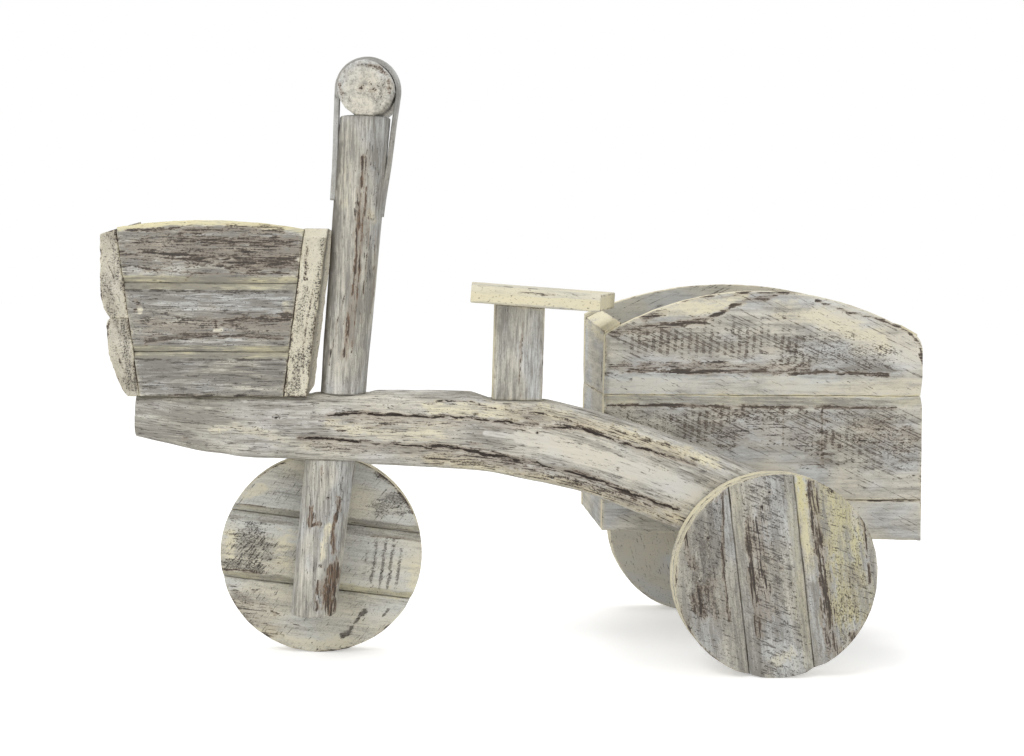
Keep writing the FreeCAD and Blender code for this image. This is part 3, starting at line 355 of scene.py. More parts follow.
def limed_wood(name, cover=0.5, streak=0.5, grit=0.5, specks=0.3, dashes=0.3, slant=25,
               pitch=6.5, columns=0.6, stroke=8, thin=THIN_PAINT, thick=THICK_PAINT, wood=WOOD,
               line=SAW_LINE, stippled=0.0, fibre=1.0):
    """Whitewashed wood. Cover is how thick the paint is left, streak how uneven along the fibre
    and grit how uneven from pore to pore. Specks and dashes are how many dark ones show, and the
    saw slanted the dashes, each a stroke of millimetres. Columns of them stand a pitch apart.
    Stippled is the share of the flecks that are specks rather than dashes, and fibre how much
    finer the wood is. Every pattern is a sum of noises, and a smooth step of it gives a share
    that mixes two colours."""
    material, tree = new_material(name)
    grain = add_node(tree, "ShaderNodeAttribute", attribute_name="grain").outputs["Vector"]
    paint, marks = (add_node(tree, "ShaderNodeAttribute", attribute_name=title).outputs
                    for title in ("paint", "marks"))
    bare, fleck, cream = add_node(tree, "ShaderNodeSeparateColor", {0: paint["Color"]}).outputs
    grime_and_shade, crack, sawn = add_node(tree, "ShaderNodeSeparateColor", {0: marks["Color"]}).outputs
    coat_light_and_shade, yellow = paint["Alpha"], marks["Alpha"]

    def noise(per_metre, detail, roughness=0.6, place=grain):
        """Noise on the wood's own place, stretched along the fibre."""
        along, across = per_metre
        scaled = add_node(tree, "ShaderNodeVectorMath",
                          {0: place, 1: (along, across, across)}, operation="MULTIPLY")
        return add_node(tree, "ShaderNodeTexNoise",
                        {"Vector": scaled.outputs[0], "Scale": 1.0, "Detail": detail,
                         "Roughness": roughness}).outputs[0]

    def calculated(operation, *values):
        """A sum, a product or another operation on values and sockets."""
        return add_node(tree, "ShaderNodeMath", dict(enumerate(values)),
                        operation=operation).outputs[0]

    def sums(total, *terms):
        """Add sockets to a number, each times its weight and measured from its middle."""
        for socket, weight, middle in terms:
            part = calculated("MULTIPLY_ADD", socket, weight, -weight * middle)
            total = calculated("ADD", total, part)
        return total

    def step(socket, low, high, low_to=0.0, high_to=1.0):
        """A smooth step from one value to another where the socket goes from low to high."""
        return add_node(tree, "ShaderNodeMapRange",
                        {"Value": socket, "From Min": low, "From Max": high, "To Min": low_to,
                         "To Max": high_to}, interpolation_type="SMOOTHSTEP").outputs[0]

    def product(result, *factors):
        """All the factors multiplied."""
        for factor in factors:
            result = calculated("MULTIPLY", result, factor)
        return result

    def mixed(share, first, second):
        """The first colour where the share is 0, and the second where it is 1."""
        return add_node(tree, "ShaderNodeMix", {0: share, 6: first, 7: second},
                        data_type="RGBA").outputs[2]

    def leaning(degrees):
        """The wood's place, turned in the plane of the board's face."""
        return add_node(tree, "ShaderNodeVectorRotate",
                        {"Vector": grain, "Angle": math.radians(degrees),
                         "Axis": (0, 0, 1)}).outputs[0]

    fine = noise(np.multiply(FIBRES, fibre), 4, 0.68)
    strand = noise(np.multiply(STRANDS, fibre), 5, 0.65)
    blotch = noise(BLOTCHES, 4)
    region = noise(REGIONS, 2)
    pores = noise(np.multiply(PORES, fibre), 3, 0.75)
    dash = noise((0.9 * METRE / stroke, DASHES_ACROSS), 3, 0.65, leaning(slant))
    wave = add_node(tree, "ShaderNodeTexWave",
                    {"Vector": leaning(2), "Distortion": 1.2, "Detail": 2.0, "Detail Scale": 2.0,
                     "Scale": math.pi / 10 * METRE / pitch}).outputs[1]
    rows = product(step(wave, 0.3, 0.85), step(region, 0.34, 0.56), sawn, columns)

    # The tone reads the layer of paint thickness, which also holds painted light and painted
    # shade.
    tone = step(sums(cover, (strand, streak * 1.4, 0.5), (fine, streak * 1.3, 0.5),
                     (blotch, 0.8, 0.5), (pores, grit, 0.5), (coat_light_and_shade, 0.5, 0),
                     (fleck, -0.10, 0)), 0.12, 0.88)
    worn = product(step(sums(0.0, (bare, 0.9, 0), (fine, 3.0, 0.5), (strand, 1.6, 0.5),
                             (pores, 1.3, 0.5)), 0.43, 0.88), step(bare, 0.05, 0.2))
    dashed = step(sums(0.05 * dashes, (dash, 1.0, 0), (pores, 0.35, 0.5), (rows, 0.17, 0),
                       (fleck, 0.14 * (1 - stippled), 0), (sawn, 0.08 * dashes, 0),
                       (blotch, -0.15, 0.5)), 0.66, 0.74)
    specked = step(sums(0.10 * specks, (pores, 1.0, 0), (fine, 0.25, 0.5), (rows, 0.05, 0),
                        (fleck, 0.11 + 0.12 * stippled, 0), (blotch, 0.2, 0.5)), 0.68, 0.75)
    lined = add_node(tree, "ShaderNodeClamp",
                     {0: sums(0.0, (dashed, 0.75, 0), (specked, 0.7, 0))}).outputs[0]
    bared = product(worn, 0.95)

    brown = mixed(step(sums(0.38, (fine, -1.8, 0.55), (strand, -1.6, 0.5), (pores, 1.2, 0.5)),
                       0.15, 0.85), linear(DARK_WOOD), linear(wood))
    chalk = mixed(step(region, 0.36, 0.62), linear(thick), linear(WARM_PAINT))
    white = mixed(tone, linear(thin), chalk)
    for layer, tint in ((cream, CREAM_PAINT), (yellow, YELLOW_PAINT)):
        cover_share = product(layer, step(sums(0.0, (blotch, 0.6, 0), (tone, 0.5, 0)), 0.1, 0.8))
        white = mixed(cover_share, white, linear(tint))
    stain = product(step(bare, 0.05, 0.7), step(sums(0.0, (strand, 0.6, 0), (fine, 0.4, 0)),
                                                0.35, 0.65, 0.15, 0.65))
    white = mixed(stain, white, linear(STAIN))
    colour = mixed(bared, mixed(lined, white, linear(line)), brown)
    # The dirt layer darkens the colour: real dirt, and painted shade where a mark puts it there.
    colour = mixed(product(grime_and_shade, step(strand, 0.3, 0.7, 0.3, 0.8)), colour, linear(GRIME_AND_SHADE))
    split = product(step(sums(0.0, (crack, 0.9, 0), (fine, 2.0, 0.5), (strand, 1.2, 0.5)),
                         0.40, 0.75), step(crack, 0.05, 0.3))
    colour = mixed(split, colour, linear(CRACK))

    dark = calculated("MAXIMUM", lined, bared)
    height = sums(0.0, (dark, -0.5, 0), (fine, 0.5, 0), (strand, 0.6, 0),
                  (pores, 0.4 + grit * 0.4, 0), (split, -1.0, 0))
    bump = add_node(tree, "ShaderNodeBump",
                    {"Height": height, "Strength": 0.8, "Distance": BUMP_DEPTH / METRE})
    shader = add_node(tree, "ShaderNodeBsdfPrincipled",
                      {"Base Color": colour, "Roughness": step(dark, 0, 1, 0.86, 0.7),
                       "Normal": bump.outputs[0]})
    add_node(tree, "ShaderNodeOutputMaterial", {"Surface": shader.outputs[0]})
    return material


print("patterns in a metre", FIBRES, STRANDS, BLOTCHES, REGIONS, PORES)

# %% [markdown]
# ## The finishes
# All the wood is limed, and each finish is one way in which it was cut before. The box's boards
# came from a coarse saw: rows of slanted dashes. The wheels' boards show shorter, steeper teeth
# and grit. The basket's boards are weathered, with thin paint in long streaks. End grain is all
# pores: even specks and no dashes. The branches were peeled, not sawn, so they have long fibres
# and warmer wood. The slat is split along its fibre, which leaves it finer than the rest.

# %% Finishes
sawn_wood = limed_wood("limed_sawn_board", cover=0.55, streak=0.65, dashes=0.75, columns=0.8,
                       stroke=26, line="#4d433a", stippled=0.4)
wheel_wood = limed_wood("limed_wheel_board", cover=0.46, streak=0.7, grit=1.1, specks=0.5,
                        dashes=0.9, slant=-60, pitch=9, columns=0.2, stippled=0.75)
basket_wood = limed_wood("limed_basket_board", cover=0.37, streak=1.4, slant=0, columns=0,
                         stroke=14, wood="#473c32")
slab_wood = limed_wood("limed_end_grain", cover=0.60, streak=0.2, grit=1.1, specks=0.8,
                       dashes=0, slant=0, columns=0, thin="#857e6e", thick="#d9d5c8",
                       fibre=1.1)
branch_wood = limed_wood("limed_branch", cover=0.51, streak=0.95, slant=0, columns=0, stroke=12,
                         wood="#7d6148")
beam_wood = limed_wood("limed_bent_branch", cover=0.59, streak=1.1, dashes=0.8, slant=0,
                       columns=0, stroke=12, thin="#8d8980", thick="#c9c7c1", wood="#5c4838")
strap_wood = limed_wood("limed_split_slat", cover=0.45, slant=0, columns=0, fibre=1.3)
print("finishes", len(bpy.data.materials))

# %% [markdown]
# ## A board
# A board is two grids of points, its face and its back, joined round their edges. Both follow
# one outline: for each place along the board, a lower and an upper edge. A scaled cube would be
# quicker, but a sawn board's edges waver and its corners are worn, which a grid can follow.

# %% A board's grid


def spaced(count, length, edge=2.0):
    """Shares from 0 to 1 with extra places close to both ends, for the rounded edges."""
    near = np.array([0, 0.12, 0.35, 0.65, 1.0]) * min(edge / length, 0.1)
    middle = np.linspace(near[-1], 1 - near[-1], count)[1:-1]
    return np.concatenate([near, middle, 1 - near[::-1]])


def outline_grid(span, low, high, ends, spacing, disc, rough, seed):
    """Places x and z over a board, and its lower and upper edge at each. The places are shares
    of its length and of the way between its edges, which waver by the roughness. A disc's x runs
    as a sine, so that its places stay even round the circle."""
    length = span[1] - span[0]
    middle = np.linspace(*span, 41)
    width = float(np.max(high(middle) - low(middle)))
    along = spaced(max(int(length / spacing), 8), length)
    across = spaced(max(int(width / spacing), 6), width)
    if disc:
        along = (np.sin((along - 0.5) * math.pi * 0.985) + 1) / 2
    share_x, share_z = np.meshgrid(along, across, indexing="ij")
    x = span[0] + length * share_x
    bottom = low(x) + np.abs(layered_noise(x, x * 0, 14, 1, seed + 3)) * rough
    top = high(x) - np.abs(layered_noise(x, x * 0 + 5, 11, 1, seed + 4)) * rough
    z = bottom + (top - bottom) * share_z
    if ends is not None:
        left, right = ends(z)
        x = left + (right - left) * share_x
    return x, z, bottom, top


def closed_quads(rows, columns, rim_count):
    """The border's places in a grid, and quads for the face, for the back turned round, and
    between the rims that follow the border from the face to the back."""
    count = rows * columns
    index = np.arange(count).reshape(rows, columns)
    face = np.stack([index[:-1, :-1], index[1:, :-1], index[1:, 1:], index[:-1, 1:]],
                    -1).reshape(-1, 4)
    border = np.concatenate([index[:, 0], index[-1, 1:], index[-2::-1, -1], index[0, -2:0:-1]])
    between = 2 * count + np.arange(rim_count * len(border)).reshape(rim_count, -1)
    rims = [border, *between, border + count]
    quads = [face, face[:, ::-1] + count]
    for first, second in zip(rims, rims[1:]):
        quads.append(np.stack([first, second, np.roll(second, -1), np.roll(first, -1)], -1))
    return border, np.concatenate(quads)


print("places along 100 mm", len(spaced(60, 100)))

# %% [markdown]
# ## Where a board is worn
# Hands and weather rub a board along its edges first, so bare wood and cream paint come up
# within a few millimetres of them. A bevel is planed after sawing: the saw's marks are gone, and
# it takes the paint in its own way. The rims all round are sawn edges, where the paint is thick.

# %% A board's paint
RIM_PAINT = {"cream": 1.0, "coat_light_and_shade": 0.4, "saw": 0}
BEVEL_PAINT = {"coat_light_and_shade": 0.1}
RUBBED_REACH = 1.3


def deep_in(bevel):
    """A share that rises from 0 to 0.8 in the deepest 13% of a bevel: 6 times the depth over the
    greatest depth, less 5.2. On a face without a bevel it is 0."""
    return np.clip(bevel / (bevel.max() or 1) * 6 - 5.2, 0, 1)


def board_layers(x, z, inside, bevel, rim_size, seed, fibre, marks=(), base=None, rubbed=0.7,
                 joint=0.0, facet=BEVEL_PAINT, rim=RIM_PAINT):
    """The layers on a board's face, back and rims. The rub falls off with the distance from an
    edge as e to the power of minus distance over reach. Facet adds to the layers on a bevel,
    joint is how dark the line is where it is deepest, and rim sets the layers on the rims."""
    layers = worn_layers(x.ravel(), z.ravel(), marks, seed, fibre, base)
    planed = ease(bevel, 0.05, 0.5).ravel()
    close = np.minimum(np.min(inside, axis=0), 9).ravel()
    rub = np.exp(-close / RUBBED_REACH) * (1 - planed)
    scuffed = np.clip(0.3 + layered_noise(x, z, 12, 6, seed + 11).ravel() * 1.4, 0, 1)
    merged = {}
    for layer in LAYERS:
        start = float((base or {}).get(layer, 0))
        shown, behind = layers[layer], np.full(x.size, start)
        if layer == "cream":
            shown, behind = np.maximum(shown, rub * 0.8), np.maximum(behind, rub * 0.8)
        if layer == "bare":
            shown, behind = shown + rub * scuffed * rubbed, behind + rub * scuffed * rubbed
        if layer in ("fleck", "saw"):
            shown = shown * (1 - 0.85 * planed)
        shown = shown + facet.get(layer, 0) * planed
        if layer == "crack" and joint:
            shown = np.maximum(shown, joint * deep_in(bevel).ravel())
        merged[layer] = np.concatenate([shown, behind, np.full(rim_size, rim.get(layer, start))])
    return merged


print("paint on a board's rims", RIM_PAINT)

# %% [markdown]
# ## Putting a board together
# The face sinks towards its edges in small rounds that wear has made uneven, and at a joint in a
# planed bevel. Bevels meet over a joint as a V, which hides that two boards never lie quite
# flush. Each bevel is a function of the place, so that one board can carry several.

# %% Board


def sunk(distance, radius):
    """Depth of a rounded edge at a distance from it: a quarter circle."""
    share = 1 - np.clip(distance / radius, 0, 1)
    return radius * (1 - np.sqrt(1 - share * share))


def board(name, place, span, low, high, thickness, node, material=sawn_wood, slot="board_wood",
          face=None, ends=None, warp=None, fibre=0, seed=0, spacing=1.6, radius=1.3, rough=0.35,
          disc=False, rims=2, **finish):
    """A board between the edges low(x) and high(x) for x in a span. Face gives extra depth at
    (x, z), ends the two ends' x at a height, and warp moves the finished points. Rims is how
    many rings of points lie between face and back, and finish says how the board is painted."""
    x, z, bottom, top = outline_grid(span, low, high, ends, spacing, disc, rough, seed)
    inside = [z - bottom, top - z] + ([] if disc else [x - x[:1], x[-1:] - x])
    worn = radius * (1 + 0.6 * layered_noise(x, z, 17, 17, seed + 5))
    edge = np.minimum(sum(sunk(distance, worn) for distance in inside), thickness * 0.4)
    wave = 0.5 + 0.5 * layered_noise(x, z, 60, 25, seed + 6)
    ripple = 0.5 + 0.5 * layered_noise(x, z, 9, 2.5, seed + 8)
    bevel = 0 * x if face is None else face(x, z, top)
    front = edge + rough * np.maximum(0.6 * wave + 0.4 * ripple, 0) + bevel
    rear = thickness - edge - rough * np.maximum(0.6 * ripple + 0.4 * wave, 0)
    border, quads = closed_quads(*x.shape, rims)
    sides = [np.stack([x.ravel(), z.ravel(), depth.ravel()], 1) for depth in (front, rear)]
    shares = np.linspace(0.8 / thickness, 1 - 0.8 / thickness, rims)
    between = [sides[0][border] * (1 - share) + sides[1][border] * share for share in shares]
    points = np.concatenate(sides + between)
    layers = board_layers(x, z, inside, bevel, rims * len(border), seed, fibre, **finish)
    return make_piece(name, points if warp is None else warp(points), quads, place, material,
                      node, layers, fibre, seed)


def flat_edge(height):
    """An edge at the same height all along."""
    return lambda x: np.full(np.shape(x), float(height))


def bevelled(lower, upper, width, depth):
    """Bevels that deepen in straight lines towards a joint at the board's lower edge, one at its
    upper edge, or both. None is an edge without a joint."""
    def bevel(x, z, top):
        """The depth, times 1 less the distance from each joint over the bevel's width."""
        at_lower = 0 if lower is None else np.clip(1 - (z - lower) / width, 0, 1)
        at_upper = 0 if upper is None else np.clip(1 - (upper - z) / width, 0, 1)
        return depth * (at_lower + at_upper)
    return bevel


print("boards are", sawn_wood.name, "where nothing else is said")

# %% [markdown]
# ## The wheels' wear
# The two wheels that face the viewer have marks of their own, each placed by hand in
# millimetres from the hub, as a scenery painter would. The near wheel is worn along its joints
# and yellowed below. The front one kept more paint, and a comb of saw teeth crosses its middle.

# %% The wheels' marks
NEAR_WHEEL_MARKS = (
    ("bare", 5.8, 0.8, ((44, 74), (30, 73), (18, 72))),
    ("bare", 10.2, 0.7, ((-1, 63), (-10, 73), (-23, 67))),
    ("fleck", 25.6, 0.9, ((37, 60), (-15, 66))),
    ("bare", 2.4, 0.9, ((78, 38), (50, 42), (25, 45), (0, 46), (-32, 46))),
    ("bare", 5.1, 0.7, ((72, 46), (78, 38))),
    ("bare", 2.4, 0.8, ((44, 22), (21, 22), (-7, 23), (-46, 23))),
    ("bare", 2.7, 0.9, ((74, -43), (44, -41), (12, -41), (-16, -41), (-45, -43), (-68, -43))),
    ("bare", 2.7, 0.9, ((42, -79), (21, -80), (-4, -80), (-18, -80))),
    ("bare", 8.5, 0.8, ((-61, -58), (-58, -63))),
    ("yellow", 34, 0.85, ((62, -56), (20, -60), (-40, -58))),
    ("yellow", 8, 0.85, ((82, -29), (46, -29))),
    ("yellow", 8, 0.5, ((46, -29), (20, -29))),
    ("yellow", 8, 0.25, ((20, -29), (0, -29))),
    ("cream", 8, 0.8, ((82, -29), (45, -29), (12, -29))),
    # Painted light and shade: the strokes of thicker and thinner paint along the four bevel
    # facets make the facets lighter and darker as the light falls on them.
    ("coat_light_and_shade", 9.5, 0.2, ((84, 37.5), (44, 37.5))),
    ("coat_light_and_shade", 9.5, 0, ((34, 37.5), (4, 37.5))),
    ("coat_light_and_shade", 9.5, -0.15, ((-6, 37.5), (-84, 37.5))),
    ("coat_light_and_shade", 9.5, -0.35, ((84, 27.8), (-84, 27.8))),
    ("yellow", 9.5, 0.2, ((84, 27.8), (40, 27.8))),
    ("coat_light_and_shade", 9.5, -0.15, ((84, -19.8), (-84, -19.8))),
    ("yellow", 9.5, 0.3, ((84, -19.8), (-84, -19.8))),
    ("coat_light_and_shade", 9.5, -0.2, ((-14, -29), (-84, -29))),
    ("saw", 58, 0.95, ((-90, 4), (90, 4))),
    ("saw", 50, 0.45, ((-90, -58), (90, -58))),
    ("fleck", 30, 0.7, ((70, 52), (30, 60))),
    ("coat_light_and_shade", 40, -0.1, ((60, 60), (0, 62), (-30, 62))),
    ("coat_light_and_shade", 20, 0.4, ((-62, 12), (-76, -12))),
    ("bare", 7, 0.9, ((76, -37), (50, -37), (20, -38), (-20, -39), (-62, -38))),
    ("bare", 12, 0.55, ((20, -42), (-20, -44), (-70, -42))),
    ("bare", 5, 0.85, ((52, 21), (10, 21), (-30, 21), (-50, 21))),
    ("bare", 20, 0.45, ((50, 14), (0, 14), (-30, 14))),
    ("bare", 26, 0.42, ((0, 58), (-20, 62))),
    ("cream", 10.2, 0.5, ((-73, 10), (-68, -5))),
    ("fleck", 8.5, 0.7, ((-28, -52), (-64, -52))),
    ("bare", 26, 0.3, ((-10, -60), (-44, -58))),
    ("fleck", 28, 0.6, ((-4, -60), (-46, -58))),
    ("fleck", 5.1, 0.8, ((41, -77), (45, -81))),
    ("knot", 2.6, 1, ((74, -1),)),
    ("knot", 2.4, 1, ((62, 7),)),
    ("knot", 3, 1, ((7, -4),)),
    ("knot", 2.6, 1, ((-8, -11),)),
    ("knot", 3.4, 0.8, ((67, -55),)),
    ("knot", 2.7, 0.9, ((42, 56),)),
)
FRONT_WHEEL_MARKS = (
    ("bare", 1.4, 0.9, ((-78, 35), (-55, 35))),
    ("bare", 1.8, 0.8, ((-81, -25), (-66, -23), (-42, -24))),
    ("bare", 1.5, 0.8, ((41, 21), (62, 23), (85, 22))),
    ("bare", 1.2, 0.6, ((22, 31), (48, 30), (80, 30))),
    ("bare", 3.7, 0.6, ((-60, -51), (-39, -52), (-33, -61))),
    ("bare", 1.4, 0.6, ((-34, -57), (-15, -66), (4, -71))),
    ("fleck", 16, 0.9, ((45, 47), (54, 58), (64, 49))),
    ("fleck", 7.3, 1.2, ((41, 77), (61, 67), (73, 48))),
    ("fleck", 7.3, 0.8, ((-70, -46), (-58, -51))),
    ("fleck", 7.3, 0.6, ((-61, -63), (-47, -72))),
    ("fleck", 34, 0.8, ((-60, 8), (-58, -14))),
    ("saw", 34, 0.9, ((-60, 8), (-58, -14))),
    ("fleck", 10, 1.0, ((-84, -20), (-50, -22))),
    ("comb", 36, 1.1, ((56, 4), (56, -8))),
    # Painted light and shade: the strokes of thicker and thinner paint along the four bevel
    # facets make three facets darker and the lowest one lighter, as the light falls on them.
    ("yellow", 7, 0.5, ((-88, 32), (88, 32))),
    ("coat_light_and_shade", 7, -0.35, ((-88, 32), (88, 32))),
    ("coat_light_and_shade", 7, -0.25, ((-88, 25), (88, 25))),
    ("yellow", 7, 0.6, ((-88, -28), (88, -28))),
    ("coat_light_and_shade", 7, -0.35, ((-88, -28), (88, -28))),
    ("coat_light_and_shade", 7, 0.2, ((-88, -35), (88, -35))),
    ("bare", 2, 1, ((-84, -24), (-60, -24), (-44, -24))),
    ("bare", 2.4, 0.8, ((38, 79), (52, 71), (66, 58), (75, 46))),
    ("bare", 24, 0.4, ((-70, -50), (-50, -62), (-36, -76))),
    ("dark", 5, 1, ((29, -70), (34, -66))),
    ("dark", 4, 1, ((41, -50), (44, -46))),
    ("dark", 2.4, 1, ((32, -68), (42, -49))),
    ("dark", 1.5, 0.7, ((61, -49), (66, -41))),
    ("dark", 1.7, 0.8, ((65, -59), (72, -53))),
    ("cream", 14.6, 0.8, ((-35, 10), (-34, -8))),
    ("cream", 11, 0.7, ((84, -3), (84, -19))),
    ("cream", 8.5, 0.7, ((-82, 8), (-79, -11))),
    ("cream", 7.3, 0.6, ((-74, 41), (-59, 52))),
    ("cream", 11, 0.5, ((-46, -75), (-7, -82), (30, -78))),
)
print("marks on the wheels", len(NEAR_WHEEL_MARKS), "and", len(FRONT_WHEEL_MARKS))

# %% [markdown]
# ## The wheels
# Each wheel is two layers of boards sawn to one disc, 177 mm across. The face layer has three
# boards whose long edges are bevelled, so two joints show as wide grooves. A disc board's edges
# are a chord and the circle's own arc, so low and high are the larger and smaller of the two.

# %% The wheels
WHEEL_RADIUS = 88.5
JOINT_DEPTH = 4.5
# Painted light: the backing boards' thick paint lightens the far wheel's inner face, which lies
# in shade under the box.
BACKING_PAINT_AND_LIGHT = {"saw": 0.1, "coat_light_and_shade": 1.0}


def chord(x):
    """Half the disc's width at a distance from its hub: the root of radius² - distance²."""
    return np.sqrt(np.maximum(WHEEL_RADIUS ** 2 - np.asarray(x) ** 2, 0))


def disc_board(name, place, bottom, top, ply, width, **finish):
    """A board sawn to the wheel's circle between two chords, with bevels at its joints."""
    reach = WHEEL_RADIUS
    if bottom is None or top is None:
        reach = float(chord(top if bottom is None else bottom))

    def low(x):
        """The lower chord, or the circle where that is higher."""
        return -chord(x) if bottom is None else np.maximum(-chord(x), bottom)

    def high(x):
        """The upper chord, or the circle where that is lower."""
        return chord(x) if top is None else np.minimum(chord(x), top)

    face = bevelled(bottom, top, width, JOINT_DEPTH) if width else None
    board(name + "_limed", place, (-reach, reach), low, high, ply, name, wheel_wood,
          "wheel_wood", face=face, disc=True, spacing=1.15 if width else 2.5, radius=0.9,
          joint=0.9, rubbed=1.2, **finish)


def wheel(label, place, ply, upper, lower, width, marks, seed, base):
    """Three face boards, and two backing boards that cross them. Upper and lower are the
    joints' distances from the hub, and width is how wide their bevels are."""
    origin, along, across, inward = place
    spans = ((None, -lower), (-lower, upper), (upper, None))
    for number, (bottom, top) in enumerate(spans, start=1):
        disc_board("%s_board_%d" % (label, number), place, bottom, top, ply, width,
                   marks=marks, seed=seed + number * 20, base=base)
    behind = (origin + inward * ply, -across, along, inward)
    for number, (bottom, top) in enumerate(((None, 0.0), (0.0, None)), start=1):
        disc_board("%s_backing_%d" % (label, number), behind, bottom, top, ply, 0,
                   seed=seed + 70 + number, base=BACKING_PAINT_AND_LIGHT)


NEAR_HUB, FAR_HUB, FRONT_HUB = (212, -133, 88.5), (192.3, 133, 88.5), (-179.6, -61, 88.5)
rear_along, rear_across = turned(-98.9, (1, 0, 0)), turned(-98.9, (0, 0, 1))
mirrored = np.array([-1, 1, 1])
wheel("near_wheel", face_frame(NEAR_HUB, rear_along, rear_across), ply=13, upper=32.6,
      lower=24.6, width=9.5, marks=NEAR_WHEEL_MARKS, seed=11,
      base={"saw": 0.1, "fleck": 0.35, "coat_light_and_shade": 0.1})
# Painted light: the far wheel's thick paint lightens it where it lies in shade.
wheel("far_wheel", face_frame(FAR_HUB, rear_along * mirrored, rear_across * mirrored), ply=13,
      upper=32.6, lower=24.6, width=9.5, marks=(), seed=111, base={"saw": 0.2, "coat_light_and_shade": 0.8})
wheel("front_wheel", face_frame(FRONT_HUB, turned(6.5, (1, 0, 0)), turned(6.5, (0, 0, 1))),
      ply=10, upper=28.6, lower=31.3, width=7, marks=FRONT_WHEEL_MARKS, seed=211,
      base={"saw": 0.05, "coat_light_and_shade": 0.4, "yellow": 0.12})
print("wheels 3, of", WHEEL_RADIUS * 2, "mm")

# %% [markdown]
# ## The box's wear
# The near side of the box shows the most: rows of saw marks in the middle of its boards, bare
# wood along the joint, and worn lines where the arch was cut. The marks are places along the
# side and above or below its upper joint.

# %% The box's marks
BOX_MARKS = (
    ("saw", 40, 0.85, ((-120, 44), (-60, 46), (0, 48), (22, 46))),
    ("saw", 34, 0.8, ((-66, -26), (0, -30), (60, -38))),
    ("saw", 40, 0.5, ((80, -50), (140, -48))),
    ("bare", 30, 0.32, ((-112, 42), (-50, 42), (18, 42))),
    ("bare", 40, 0.38, ((-40, -28), (18, -34), (60, -40))),
    ("fleck", 36, 0.9, ((30, 46), (70, 38), (104, 30))),
    ("fleck", 46, 0.75, ((66, -36), (104, -42), (142, -50))),
    ("fleck", 40, 0.8, ((-140, -26), (-84, -30), (-40, -34))),
    ("fleck", 20, 0.5, ((-110, 48), (-20, 50))),
    ("fleck", 14, 0.8, ((-60, -17), (0, -18), (130, -20))),
    ("bare", 26, 0.45, ((96, -30), (138, -38))),
    ("coat_light_and_shade", 40, 0.45, ((64, 76), (100, 62), (138, 44))),
    ("coat_light_and_shade", 24, 0.3, ((-134, -30), (-70, -52), (0, -72), (40, -76))),
    # Painted light and shade: the strokes of thicker and thinner paint on the two bevel facets
    # make the wide upper facet lighter and the narrow lower one darker.
    ("coat_light_and_shade", 17, 0.15, ((-144, 9), (150, 8))),
    ("cream", 17, 0.3, ((-144, 9), (150, 8))),
    ("coat_light_and_shade", 8, -0.45, ((-144, -4.8), (150, -4.8))),
    ("yellow", 8, 0.25, ((-144, -4.8), (150, -4.8))),
    ("bare", 4.5, 1, ((-122, 22), (-63, 21), (-4, 22), (59, 22), (116, 20))),
    ("bare", 10, 0.6, ((-138, 26), (-100, 26), (-20, 26), (40, 25))),
    ("bare", 4, 1, ((-134, 59), (-110, 61), (-85, 64), (-64, 67), (-47, 71), (-35, 77),
                    (-27, 83), (-14, 87), (4, 89), (11, 92))),
    ("bare", 7, 0.8, ((-140, 56), (-124, 58), (-89, 62), (-50, 70))),
    ("bare", 2.6, 0.9, ((-100, 82), (-85, 85), (-64, 88), (-48, 89))),
    ("bare", 6, 0.7, ((-92, 74), (-110, 68))),
    ("bare", 2.4, 0.9, ((-40, 88), (-20, 92), (20, 93))),
    ("bare", 3, 1, ((47, 86), (79, 76), (109, 69), (132, 60), (144, 48), (147, 30))),
    ("bare", 2, 0.6, ((19, -11), (20, -49))),
    ("bare", 2.4, 0.9, ((55, -11), (57, -61))),
    ("bare", 2, 0.5, ((-67, 54), (-63, 21))),
    ("bare", 2.4, 1, ((-141, -9), (-87, -9), (-24, -10), (60, -10), (124, -11))),
    ("bare", 1.4, 0.6, ((0, -60), (40, -61), (60, -63))),
    ("bare", 1.5, 0.8, ((60, -95.3), (149, -95.6))),
    ("dark", 2.5, 0.8, ((-140, 20), (-120, 14))),
    ("grime_and_shade", 5, 0.7, ((-142, 50), (-142, 10), (-142, -30))),
    ("cream", 12, 0.9, ((-93, 77), (-73, 79), (-50, 79), (-20, 90))),
    ("cream", 15.6, 0.6, ((15, 78), (58, 68), (111, 52))),
    ("cream", 2.2, 1, ((-144, 0), (150, 0))),
    ("fleck", 9.8, 0.6, ((-138, 21), (-137, -20))),
    ("fleck", 5.9, 0.6, ((11, 76), (32, 72))),
)
print("marks on the box", len(BOX_MARKS))

# %% [markdown]
# ## The rear box
# Two arched sides of three boards each stand on the long edges. The top board's lower edge has a
# wide bevel and the middle board's upper edge a narrow one. All is in one frame that rises to
# the back by one degree, so each piece is drawn upright and turned once.

# %% The box's sides
BOX_ORIGIN = (212, -59, 237.6)
BOX_TILT = -1.0
BOX_WIDTH = 94.8
BOX_BOARD = 12
BOX_INSIDE = 122
BOX_FRONT, BOX_REAR = -144.0, 148.2
STRIP_FRONT, STRIP_REAR = 27.6, 38.1
REAR_LEAN = 3.3
ARCH_CORNER, ARCH_DROP = 6, 12.5


def tilted(origin, tilt):
    """A function that gives frames inside one which stands at an origin, turned by a tilt."""
    def frame_at(x, y, z, along=(1, 0, 0), across=(0, 0, 1)):
        """The frame at a place, with its place and both its ways turned by the tilt."""
        return face_frame(np.array(origin) + turned(tilt, (x, y, z)), turned(tilt, along),
                          turned(tilt, across))
    return frame_at


def rear_end(z):
    """The rear end at a height: it leans in towards the top in a straight line."""
    return BOX_REAR - REAR_LEAN * z / (BOX_WIDTH + STRIP_REAR)


